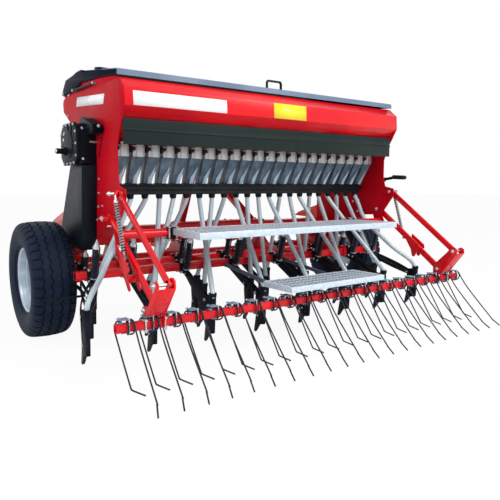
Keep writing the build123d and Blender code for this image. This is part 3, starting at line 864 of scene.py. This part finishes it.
# Half of the tyre section: distance from the middle, radius, sway of the zigzag, depth of the groove,
# share of the gap between lugs
HALF_SECTION = [
    (88, 198, 0, 0, 0), (99, 209, 0, 0, 0), (108, 221, 0, 0, 0), (112, 226, 0, 0, 0),
    (114, 225, 0, 0, 0), (119, 238, 0, 0, 0), (127, 260, 0, 0, 0), (131, 282, 0, 0, 0),
    (132, 300, 0, 0, 0), (130, 322, 0, 0, 0), (128, 328, 0, 0, 0.15), (123, 343, 0, 0, 0.7),
    (116, 353, 0, 0, 1), (106, 360.5, 0, 0, 1), (94, 364.5, 0, 0, 1), (83, 366.5, 6, 0, 1),
    (80.5, 366.8, 6, 9, 0), (73, 367.8, 6, 9, 0), (70.5, 368.2, 6, 0, 0), (52, 370, 6, 0, 0),
    (34.5, 371, 7, 0, 0), (32, 371.1, 7, 9, 0), (24.5, 371.4, 7, 9, 0), (22, 371.5, 7, 0, 0),
]


def tyre(word, side):
    section = [(-a, r, sway, groove, lug) for a, r, sway, groove, lug in HALF_SECTION]
    section += [(0, 372, 7, 0, 0), *reversed(HALF_SECTION), (60, 193, 0, 0, 0), (-60, 193, 0, 0, 0)]
    verts = []
    for pitch in range(PITCHES):
        for step in TREAD_STEPS:
            turn = tau * (pitch + step / PITCH_LENGTH) / PITCHES
            zigzag = 4 * abs((step + 7.0) / PITCH_LENGTH - 0.5) - 1
            gap = LUG_DEPTH if abs(step) < 5 else 0.0
            for along, radius, sway, groove, lug in section:
                r = radius - groove - lug * gap
                x = side * (WHEEL_X + along + sway * zigzag)
                verts.append((x, r * cos(turn), AXLE_Z + r * sin(turn)))
    shell = Shell()
    shell.add(verts, ring_faces(PITCHES * len(TREAD_STEPS), len(section), closed_path=True))
    shell.make("tyre_tread_" + word, RUBBER, "tyre", ["tyre_" + word], "wheel_" + word, 32.0)


# Rim sections: distance from the middle outwards, radius
BARREL = [
    (99, 205), (97.5, 208), (95, 208), (93, 202), (90, 195), (84, 192.5), (-84, 192.5), (-90, 195),
    (-93, 202), (-95, 208), (-97.5, 208), (-99, 205), (-96, 198), (-88, 190), (-66, 188), (-58, 180),
    (-30, 178), (26, 178), (46, 179), (52, 186), (64, 187.5), (68, 190), (86, 191.5), (93, 196),
    (97, 201),
]
DISC = [(24, 179), (18, 168), (8, 152), (2, 134), (0, 112), (8, 92), (14, 74), (14, 50)]
HUB = [(12, 26), (12, 62), (-56, 62), (-60, 58), (-60, 26)]
HUB_CAP = [(14, 50), (16, 54), (34, 50), (41, 42), (42, 0.5), (37, 0.5), (35, 36), (14, 40)]
DISC_SHEET = 7
DISC_HOLE_RING = 2
DISC_SIDES = 64
NUTS = 6
NUT_RING = 82


def rim(word, side):
    centre = (side * WHEEL_X, 0, AXLE_Z)
    metal, bolts = Shell(), Shell()
    for shell, profile, sides in ((metal, BARREL, 96), (metal, HUB, 48), (bolts, HUB_CAP, 40)):
        shell.lathe([(side * x, r) for x, r in profile], centre, "X", sides)

    def disc_point(i, j, face):
        turn = tau * i / DISC_SIDES
        along, r = DISC[j]
        x = centre[0] + side * (along - DISC_SHEET * face)
        return (x, r * cos(turn), AXLE_Z + r * sin(turn))

    def is_hole(i, j):
        return j == DISC_HOLE_RING and i % 8 in (3, 4)

    metal.pierced(disc_point, DISC_SIDES, len(DISC), is_hole, wraps=True)
    for i in range(NUTS):
        turn = tau * (i + 0.5) / NUTS
        at = (centre[0] + side * 11, NUT_RING * cos(turn), AXLE_Z + NUT_RING * sin(turn))
        bolts.bolt(at, (side, 0, 0), 11, 8)
    valve = (centre[0] + side * 20, -166, AXLE_Z + 20)
    bolts.rod(valve, (valve[0] + side * 30, -172, valve[2]), 4, 10)
    metal.make("rim_pressed_" + word, RIM, "rim_silver", ["rim_" + word], "wheel_" + word, 30.0)
    bolts.make("wheel_nuts_" + word, ZINC_BOLT, "zinc_steel", body="wheel_" + word)


# Harrow: square bar, sprung wire tines, clamps
BAR_Y = -1218.0
BAR_Z = 300.0
BAR_SIDE = 40.0
BAR_LEFT_END = -1347.0
BAR_RIGHT_END = 1322.0
TINES = 22
TINE_PITCH = 123.8
WIRE_R = 4.2
COIL_R = 35.6
# How far the wire of each side is wound, in degrees to the rear, and how far out it has come by then
WINDINGS = {
    -1: [(0, 27), (-122, 38)],
    1: [
        (0, 16), (36, 9), (90, 5), (144, 9), (180, 16), (270, 22), (360, 24), (405, 33), (450, 37),
        (495, 34), (540, 26), (630, 29), (720, 34), (766, 38),
    ],
}
# Bends and tip of each side's wire: dx from the end of its coil, y, z
TINE_LEGS = {
    -1: [(6, -1259, 165), (13, -1331, 50), (15, -1336, 40), (21, -1343, 33), (70, -1372, 7)],
    1: [(-8, -1330, 222), (-29, -1534, 42), (-31, -1543, 35), (-36, -1554, 29), (-64, -1622, 7)],
}


def on_coil(x, wound):
    turn = radians(wound)
    return Vector((x, BAR_Y - COIL_R * sin(turn), BAR_Z + COIL_R * cos(turn)))


def tine_wire(middle, side):
    """From the plate that holds the pair, round the coil, down to the tip."""
    stops = WINDINGS[side]
    path = [Vector((middle + side * stops[0][1] * 0.5, BAR_Y, BAR_Z + COIL_R))]
    for (turn_0, out_0), (turn_1, out_1) in zip(stops, stops[1:]):
        steps = ceil(abs(turn_1 - turn_0) / 18)
        for s in range(steps):
            x = middle + side * (out_0 + (out_1 - out_0) * s / steps)
            path.append(on_coil(x, turn_0 + (turn_1 - turn_0) * s / steps))
    wound, out = stops[-1]
    root = middle + side * out
    path.append(on_coil(root, wound))
    return path + arc([path[-1], *((root + dx, y, z) for dx, y, z in TINE_LEGS[side])], 4)[1:]


def harrow_tines():
    wire, zinc, bolts = Shell(), Shell(), Shell()
    bridge_z = BAR_Z + COIL_R
    plate_z = bridge_z + 8
    for i in range(TINES):
        x = (i - (TINES - 1) / 2) * TINE_PITCH
        for side in SIDES:
            wire.pipe(tine_wire(x, side), WIRE_R, 7)
        zinc.block(x - 32, x + 20, BAR_Y - 27, BAR_Y + 27, bridge_z + WIRE_R, plate_z, 1.5)
        zinc.block(x - 30, x - 14, BAR_Y - 10, BAR_Y + 10, BAR_Z + 20, bridge_z - WIRE_R, 1)
        zinc.block(x - 24, x + 18, BAR_Y - 27, BAR_Y + 20, BAR_Z - 23, BAR_Z - 20.2, 1)
        for dx, y in ((14, BAR_Y - 24.5), (-20, BAR_Y + 24.5)):
            bolts.rod((x + dx, y, BAR_Z - 26), (x + dx, y, plate_z + 3), 3.0, 8)
            bolts.bolt((x + dx, y, plate_z), UP, 5.5)
    wire.make("tines_wound", WIRE, "spring_steel", ["tine_coils", "tines"], "harrow", 60.0)
    zinc.make("tine_plates", PLATE_ZINC, "galvanised", ["tine_clamps"], "harrow")
    bolts.make("tine_bolts", ZINC_BOLT, "zinc_steel", body="harrow")


TUBE_WALL = 4.0


def open_tube(shell, x0, x1, y, z, half):
    """Square tube along X, open at both ends."""
    inside = half - TUBE_WALL
    verts = [
        (x, y + a * size, z + b * size)
        for x, size in ((x0, half), (x0, inside), (x1, inside), (x1, half))
        for a, b in CORNERS
    ]
    shell.add(verts, ring_faces(4, 4, closed_path=True), 1.5, 40.0)


def square_tubes():
    bar, tubes, caps = Shell(), Shell(), Shell()
    open_tube(bar, BAR_LEFT_END, BAR_RIGHT_END, BAR_Y, BAR_Z, BAR_SIDE / 2)
    bar.make("harrow_tube", RED, "red_paint", ["harrow_bar"], "harrow")
    for tube_y, half in ((-450.0, 1290.0), (-130.0, 1195.0), (190.0, 1150.0)):
        open_tube(tubes, -half, half, tube_y, TUBE_Z, 25.0)
        for side in SIDES:
            ends = span(side, half - 12, half - 0.2)
            caps.block(*ends, tube_y - 20.5, tube_y + 20.5, TUBE_Z - 20.5, TUBE_Z + 20.5, 2)
    tubes.make("coulter_square_tubes", RED, "red_paint", ["coulter_tubes"])
    caps.make("tube_caps", PLASTIC, "black_paint")


# Harrow linkage: y, z of its pivots
UPPER_FRONT = (-760.0, 926.0)
LOWER_FRONT = (-636.0, 787.0)
UPPER_REAR = (-1343.0, 508.0)
LOWER_REAR = (-1219.0, 369.0)
ARM_IN = 1122.0
ARM_OUT = 1179.0


def linkage_pins():
    front, rear = Shell(), Shell()
    for side in SIDES:
        for y, z in (UPPER_FRONT, LOWER_FRONT):
            front.cross_rod(side * 1095, side * 1184, y, z, 8)
            front.cross_rod(side * CHEEK_OUT, side * 1121, y, z, 13, 24)
            front.bolt((side * 1180, y, z), (side, 0, 0), 13, 6)
            front.bolt((side * CHEEK_IN, y, z), (-side, 0, 0), 13)
        for y, z in (UPPER_REAR, LOWER_REAR):
            rear.cross_rod(side * 1100, side * 1203, y, z, 8)
            rear.bolt((side * 1199, y, z), (side, 0, 0), 13, 6)
            rear.bolt((side * 1104, y, z), (-side, 0, 0), 13, 8)
        # Bolted straps round the bar
        for x in (side * 1100, side * 1202):
            for foot, top in ((270, 279.5), (320.5, 326)):
                rear.block(x - 9, x + 9, -1252, -1184, foot, top, 1.5)
            for y in (-1245, -1191):
                rear.rod((x, y, 272), (x, y, 330), 4.5, 10)
                rear.bolt((x, y, 326), UP, 8)
                rear.bolt((x, y, 270), DOWN, 8)
    front.make("arm_pins_front", ZINC_BOLT, "zinc_steel", ["arm_pins"])
    rear.make("arm_pins_rear", ZINC_BOLT, "zinc_steel", ["harrow_pins"], "harrow")


# Catch plates beside the lower arms; the outer one on the right is cut short
CATCH_PLATE = [
    (-812, 668), (-820, 620), (-975, 428), (-990, 421), (-1006, 430), (-1008, 442), (-968, 505),
    (-1000, 535), (-990, 552),
]
SHORT_CATCH = [
    (-935, 604), (-1048, 528), (-1052, 500), (-1037, 492), (-1010, 440), (-998, 434), (-985, 442),
    (-973, 489), (-925, 560),
]
WEBS = [
    [(-958, 506), (-988, 508), (-990, 468), (-962, 466)],
    [(-868, 566), (-880, 560), (-884, 567), (-872, 573)],
]


def harrow_arms():
    """Flat upper arms, and lower arms with a catch and a cross web that holds the spring."""
    upper, lower = Shell(), Shell()
    for side in SIDES:
        upper.bar([(side * 1127, *UPPER_FRONT), (side * 1127, *UPPER_REAR)], 14, 40, 3)
        for y, z in (UPPER_FRONT, UPPER_REAR):
            upper.cross_rod(side * ARM_IN, side * 1134, y, z, 20, 32)
        upper.cross_rod(side * 1134, side * 1158, *UPPER_FRONT, 12, 32)
        lower.bar([(side * 1131, *LOWER_FRONT), (side * 1131, *LOWER_REAR)], 18, 42, 3)
        for y, z in (LOWER_FRONT, LOWER_REAR):
            lower.cross_rod(side * ARM_IN, side * 1140, y, z, 21, 32)
        lower.cross_rod(side * 1140, side * ARM_OUT, *LOWER_FRONT, 14, 32)
        catch = CATCH_PLATE if side < 0 else SHORT_CATCH
        lower.side_plate(side, ARM_OUT - 4, ARM_OUT, catch)
        lower.side_plate(side, ARM_IN - 7, ARM_IN, catch)
        for web in WEBS:
            lower.side_plate(side, 1140, ARM_OUT - 4, web)
    upper.make("upper_arms_flat", RED, "red_paint", ["harrow_upper_arms"], "upper_arms")
    lower.make("lower_arms_flat", RED, "red_paint", ["harrow_lower_arms"], "lower_arms")


# Brackets: deep inner plate, web behind, narrow outer flange with an ear at each pin
BRACKET_PLATE = [
    (-1372, 528), (-1350, 540), (-1325, 536), (-1300, 500), (-1192, 398), (-1186, 380), (-1188, 272),
    (-1248, 272), (-1262, 345), (-1375, 490),
]
BRACKET_FLANGE = [
    (-1375, 490), (-1373, 520), (-1352, 532), (-1327, 522), (-1324, 500), (-1338, 488), (-1242, 374),
    (-1222, 392), (-1200, 384), (-1198, 360), (-1214, 348), (-1262, 346),
]
BRACKET_WEB = [(-1375, 490), (-1262, 348), (-1256, 352), (-1369, 494)]


def harrow_brackets():
    shell = Shell()
    for side in SIDES:
        shell.side_plate(side, 1104, 1112, BRACKET_PLATE, 1.2)
        shell.side_plate(side, 1191, 1199, BRACKET_FLANGE, 1.2)
        shell.side_plate(side, 1108, 1195, BRACKET_WEB, 1.2)
    shell.make("bracket_channels", RED, "red_paint", ["harrow_brackets"], "harrow")


def lift_springs():
    """Extension springs inside the linkage, drawn at one length; on the drill they stretch as the harrow
    drops.
    """
    wound, core, ends = Shell(), Shell(), Shell()
    top, foot = Vector((0, -764, 918)), Vector((0, -876, 572))
    run = (foot - top).normalized()
    for side in SIDES:
        shift = Vector((side * 1150.5, 0, 0))
        a, b = top + shift + run * 40, foot + shift - run * 34
        wound.coil(a, b, 8.5, 5.2, (b - a).length / 15.5)
        core.rod(a, b, 6.0, 12)
        ends.rod(top + shift, a, 6, 12)
        ends.pipe([a - run * 14, a - run * 2, a + run * 6], [9, 13, 13], 14)
        ends.pipe([b - run * 6, b + run * 4, b + run * 16], [13, 12, 8], 14)
        ends.rod(b, foot + shift + run * 6, 5, 12)
        ends.rod(foot + shift - run * 6, foot + shift + run * 4, 10, 6)
    for shell, name, finish, slot, stands_for in (
        (wound, "lift_springs_wound", SPRING_GREY, "zinc_steel", ["harrow_springs"]),
        (core, "lift_spring_rods", WIRE, "spring_steel", []),
        (ends, "lift_spring_ends", ZINC_BOLT, "zinc_steel", []),
    ):
        piece = shell.make(name, finish, slot, stands_for, None, 50.0)
        metres(0, -770, 900)
        metres(0, -872, 584)
        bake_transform(piece)


# Drive on the left, crank on the right
COVER_X = -1228.0
COVER_SHIELD = [(0, 2), (0, 86), (-6, 80), (-9, 40), (-9, 2)]
COVER_BOSS = [(-8, 2), (-8, 26), (-22, 24), (-22, 2)]
# y, z of the ends of each rib on the cover
COVER_RIBS = [
    (-300, 1330, -280, 1270), (-228, 1345, -228, 1300), (-350, 1222, -300, 1222),
    (-120, 1290, -160, 1260),
]
COVER_BOLTS = [
    (-330, 1334), (-262, 1338), (-190, 1338), (-366, 1290), (-368, 1220), (-366, 1150), (-322, 1108),
    (-260, 1105), (-190, 1105), (-128, 1108), (-82, 1150), (-82, 1220), (-84, 1284), (-136, 1334),
]
ADJUSTER_FIN = [
    (-300, 1338), (-300, 1372), (-330, 1380), (-505, 1322), (-524, 1300), (-510, 1276), (-420, 1266),
]
ADJUSTER_CORE = [
    (-306, 1338), (-306, 1362), (-330, 1370), (-498, 1312), (-512, 1298), (-500, 1284), (-420, 1274),
]


def drive():
    black, bolts = Shell(), Shell()
    for profile, y, z, sides in ((COVER_SHIELD, -228, 1222, 40), (COVER_BOSS, -190, 1181, 28)):
        black.lathe(profile, (COVER_X, y, z), "X", sides)
    black.cross_rod(COVER_X - 20, -1292, -190, 1181, 17)
    for y0, z0, y1, z1 in COVER_RIBS:
        black.bar([(COVER_X - 1, y0, z0), (COVER_X - 1, y1, z1)], 7, 8, 1.5)
    for y, z in COVER_BOLTS:
        bolts.bolt((COVER_X, y, z), LEFT, 8)
    for y, z in ((-166, 1286), (-156, 1252)):
        bolts.bolt((COVER_X, y, z), LEFT, 14)
    for z in (1130, 1310):
        bolts.bolt((-1190, -375, z), BACK, 8)
    for z in (1150, 1180, 1210, 1240, 1270):
        black.block(-1196, -1124, -381, -374, z, z + 6, 1.5)
    bolts.cross_rod(-1150, -CHEEK_OUT, -388, 1231, 8, 14)
    # Fins of the lift adjuster beside the box
    for i in range(6):
        black.plate(-1176 + 12 * i, 6, ADJUSTER_FIN)
    black.plate(-1172, 64, ADJUSTER_CORE)
    bolts.bolt((-1140, -516, 1312), BACK, 10)
    # Slot and stay on the side plate
    black.bar([(-1108.5, -473, 1254), (-1108.5, -415, 1135)], 3, 9, 0.8)
    stay = ((-24, 1581), (-404, 1572))
    black.rod(*((-1119, y, z) for y, z in stay), 8)
    for y, z in stay:
        bolts.cross_rod(-CHEEK_OUT, -1122, y, z, 7, 14)
        bolts.bolt((-1127, y, z), LEFT, 9)
    black.make("drive_details", BLACK, "black_paint", ["adjuster"])
    bolts.make("drive_bolts", ZINC_BOLT, "zinc_steel")


def crank():
    grip = Shell()
    arm_x = 1124
    grip.cross_rod(CHEEK_OUT, arm_x + 7, -680, 1020, 20, 24)
    grip.bar([(arm_x, -672, 1020), (arm_x, -782, 1036)], 10, 22, 3)
    start, end = Vector((arm_x, -770, 1040)), Vector((arm_x, -898, 1034))
    grip.pipe([start, start.lerp(end, 0.05), start.lerp(end, 0.94), end], [9, 16, 15, 10], 20)
    for share in (0.15, 0.35, 0.55, 0.75):
        at = start.lerp(end, share)
        grip.rod(at, at + (end - start).normalized() * 5, 16.8, 20)
    grip.make("crank_grip", PLASTIC, "black_paint", ["crank"])


def scrapers():
    steel = Shell()
    for side in SIDES:
        steel.block(*span(side, 1167, 1224), -48, -30, 350, 380, 3)
        arm_x = side * 1219
        steel.bar([(arm_x, -40, 362), (arm_x, -300, 338), (arm_x, -400, 312)], 10, 22)
        steel.bar([(side * 1214, -403, 308), (side * 1486, -403, 308)], 8, 14, 1.5, AHEAD)
        steel.bolt((side * 1224, -403, 308), BACK, 8)
        steel.bolt((side * 1224, -39, 365), (side, 0, 0), 9)
    steel.make("scraper_bars", BLACK, "black_paint", ["scrapers"])


# Bolts of the frame, side plates, headstock and lid
CHEEK_BOLTS = [
    (-377, 843), (-431, 761), (-446, 850), (-352, 762), (-392, 926), (-400, 1010), (-30, 1010),
    (40, 640), (-40, 640), (150, 1440),
]
LID_HINGE = (205, 1587)


def frame_bolts():
    bolts = Shell()
    for side in SIDES:
        outward = (side, 0, 0)
        for y, z in CHEEK_BOLTS:
            bolts.bolt((side * CHEEK_OUT, y, z), outward, 8)
            bolts.bolt((side * CHEEK_IN, y, z), (-side, 0, 0), 8)
        for y in (-52, 52):
            bolts.bolt((side * 1167, y, 528), outward, 11)
        for x in (80, 380):
            for y in (-45, 45):
                bolts.bolt((side * x, y, 702), UP, 12)
        for y in (88, 140):
            bolts.bolt((side * 380, y, 640), outward, 12)
        bolts.cross_rod(side * 1093, side * 1120, *LID_HINGE, 6, 16)
        bolts.bolt((side * 1118, *LID_HINGE), outward, 12)
        bolts.rod((side * 448, 430, 500), (side * 448, 430, 540), 3, 8)
    for x in (-909, -393, 381, 897):
        for y in (-40, 40):
            bolts.bolt((x, y, 556), LEFT, 9)
            bolts.bolt((x + 12, y, 556), RIGHT, 9)
    bolts.make("frame_bolts", ZINC_BOLT, "zinc_steel", ["lid_pins"])


# Lid: folded sheet with side plates and two ribs on each side, on its front hinge; the pale panel over
# its top is a painted reflection
LID_HALF = 1118
LID_FOLDS = [(-742, 1568), (-742, 1591), (-104, 1682), (145, 1671), (222, 1608)]
LID_SIDE_FOOT = [
    (221, 1592), (200, 1572), (130, 1570), (-49, 1588), (-128, 1600), (-150, 1611), (-472, 1593),
    (-742, 1568),
]
# Outline of the pale panel over the lid's top: a painted reflection.
LID_REFLECTION_PANEL = [(-742, 1568), (-742, 1598), (-736, 1602), (-104, 1692), (-60, 1690), (60, 1676)]
# rear y, front y, top z
LID_RIBS = [(-205, -141, 1690), (-508, -412, 1660)]
LID_SHEET = 2.5


def lowered(points):
    """The way back along the underside of the sheet."""
    return [(y, z - LID_SHEET) for y, z in reversed(points)]


def lid():
    sheet, reflection_sheet = Shell(), Shell()
    inner = LID_HALF - 1
    outline = [*LID_FOLDS[1:], (219.5, 1606), *lowered(LID_FOLDS[2:-1]), (-740, 1588)]
    sheet.plate(-inner, 2 * inner, outline, 0)
    # The pale panel, a painted reflection, sits just above the black sheet.
    inner = LID_HALF - 6
    outline = [*LID_REFLECTION_PANEL, *lowered(LID_REFLECTION_PANEL[3:]), (-739.5, 1596), (-739.5, 1568)]
    reflection_sheet.plate(-inner, 2 * inner, outline, 0)
    for side in SIDES:
        sheet.side_plate(side, LID_HALF - 5.5, LID_HALF, [*LID_FOLDS, *LID_SIDE_FOOT], 1.2)
        for rear, front, top in LID_RIBS:
            rise = (front - rear) * 0.14
            rib = [(rear, top - rise - 14), (rear + 6, top - rise), (front - 6, top), (front, top - 14)]
            sheet.side_plate(side, LID_HALF - 58, LID_HALF, rib, 2)
    sheet.block(-inner, inner, -739, -728, 1568, 1571, 1.0)
    sheet.make("lid_folded", LID_BLACK, "black_paint", ["lid"], "lid")
    reflection_sheet.make("lid_reflection_panel", LID_PAINTED_REFLECTION, "black_paint", body="lid")


# Tops of the hopper's side plates, which rise inside the lid
CROWN = [
    (-732, 1550), (-732, 1557), (-690, 1568), (-472, 1604), (-150, 1624), (-60, 1616), (80, 1585),
    (158, 1562), (158, 1550),
]


def crowns():
    tops = Shell()
    for side in SIDES:
        # The darker red copy: painted shade on the side plates.
        tops.side_plate(side, 1098.5, 1107.5, CROWN, 1.5)
    tops.make("side_plate_crowns", SHADED_SIDE_RED, "red_paint")


def lid_handle():
    handle = Shell()
    left, right, y, foot, top = -81, 35, -720, 1598, 1651
    course = [(left, foot), (left, top - 11), (left + 8, top)]
    course += [(right - 8, top), (right, top - 11), (right, foot)]
    handle.bar([(x, y, z) for x, z in course], 16, 12, 3, AHEAD)
    for x in (left, right):
        handle.block(x - 14, x + 14, y - 14, y + 14, foot, foot + 4, 1.5)
    handle.make("lid_grip", PLASTIC, "black_paint", ["lid_handle"], "lid")


housings()
chutes()
funnel_bar()
seed_tubes()
coulters()
coulter_springs()
running_boards()
board_clamps()
for word, side in (("left", -1), ("right", 1)):
    tyre(word, side)
    rim(word, side)
harrow_tines()
square_tubes()
linkage_pins()
lift_springs()
drive()
crank()
frame_bolts()
lid()
crowns()
lid_handle()
scrapers()
harrow_arms()
harrow_brackets()


# Floor, light and camera
WHITE = (1.0, 1.0, 1.0)


def floor():
    """Pale paper floor. The camera sees it lifted towards white, and the shadow stays."""
    mesh = bpy.data.meshes.new("floor")
    reach = 60.0
    mesh.from_pydata([(reach * a, reach * b, 0) for a, b in CORNERS], [], [[0, 1, 2, 3]])
    pale = Finish("floor_paper")
    pale.set(Base_Color=(0.9, 0.9, 0.9), Roughness=0.9)
    glow = pale.node("ShaderNodeEmission", {}, {"Color": WHITE, "Strength": 1.0})
    seen = pale.node("ShaderNodeLightPath", output="Is Camera Ray")
    paper = Value(pale, pale.shader.outputs[0])
    mixed = pale.node("ShaderNodeMixShader", {}, {0: seen * 0.93, 1: paper, 2: glow})
    pale.feed(pale.tree.nodes["Material Output"].inputs["Surface"], mixed)
    mesh.materials.append(pale.material)
    piece = bpy.data.objects.new("floor", mesh)
    link(piece)


def sky():
    """White to the camera and in reflections, dimmer where it lights the drill."""
    world = bpy.data.worlds.new("studio")
    bpy.context.scene.world = world
    world.use_nodes = True
    studio = Nodes(world.node_tree)
    camera_ray = studio.node("ShaderNodeLightPath", output="Is Camera Ray")
    glossy_ray = studio.node("ShaderNodeLightPath", output="Is Glossy Ray")
    clear_ray = studio.node("ShaderNodeLightPath", output="Is Transmission Ray")
    seen = camera_ray.either(glossy_ray).either(clear_ray)
    strength = studio.node("ShaderNodeMapRange", {}, {"Value": seen, "To Min": 0.62, "To Max": 1.0})
    back = studio.tree.nodes["Background"]
    studio.feed(back.inputs["Color"], WHITE)
    studio.feed(back.inputs["Strength"], strength)


def lamp(name, at, toward, size, power):
    """Area lamp, its places in metres from the wheel axle."""
    light = bpy.data.lights.new(name, "AREA")
    light.shape = "RECTANGLE"
    light.size, light.size_y = size
    light.energy = power
    piece = bpy.data.objects.new(name, light)
    piece.location = (at[0], at[1] + AXLE_Y, at[2])
    piece.rotation_mode = "QUATERNION"
    piece.rotation_quaternion = (Vector(toward) - Vector(at)).to_track_quat("-Z", "Y")
    link(piece)


def camera():
    yaw, pitch = radians(35.389), radians(-6.7355)
    view = bpy.data.cameras.new("camera")
    view.sensor_width = 36.0
    view.lens = 38.506
    view.clip_end = 200.0
    piece = bpy.data.objects.new("camera", view)
    piece.location = metres(-2248.4, -3581.0, 963.5)
    ahead = Vector((sin(yaw) * cos(pitch), cos(yaw) * cos(pitch), sin(pitch)))
    piece.rotation_mode = "QUATERNION"
    piece.rotation_quaternion = ahead.to_track_quat("-Z", "Y")
    link(piece)
    bpy.context.scene.camera = piece


floor()
sky()
lamp("key", (1.5, -5.5, 4.5), (0.0, -0.4, 0.8), (4.0, 3.0), 330.0)
lamp("fill", (-5.0, -1.5, 3.5), (-0.8, -0.2, 0.8), (3.0, 3.0), 90.0)
camera()
bpy.context.scene.view_settings.view_transform = "Standard"
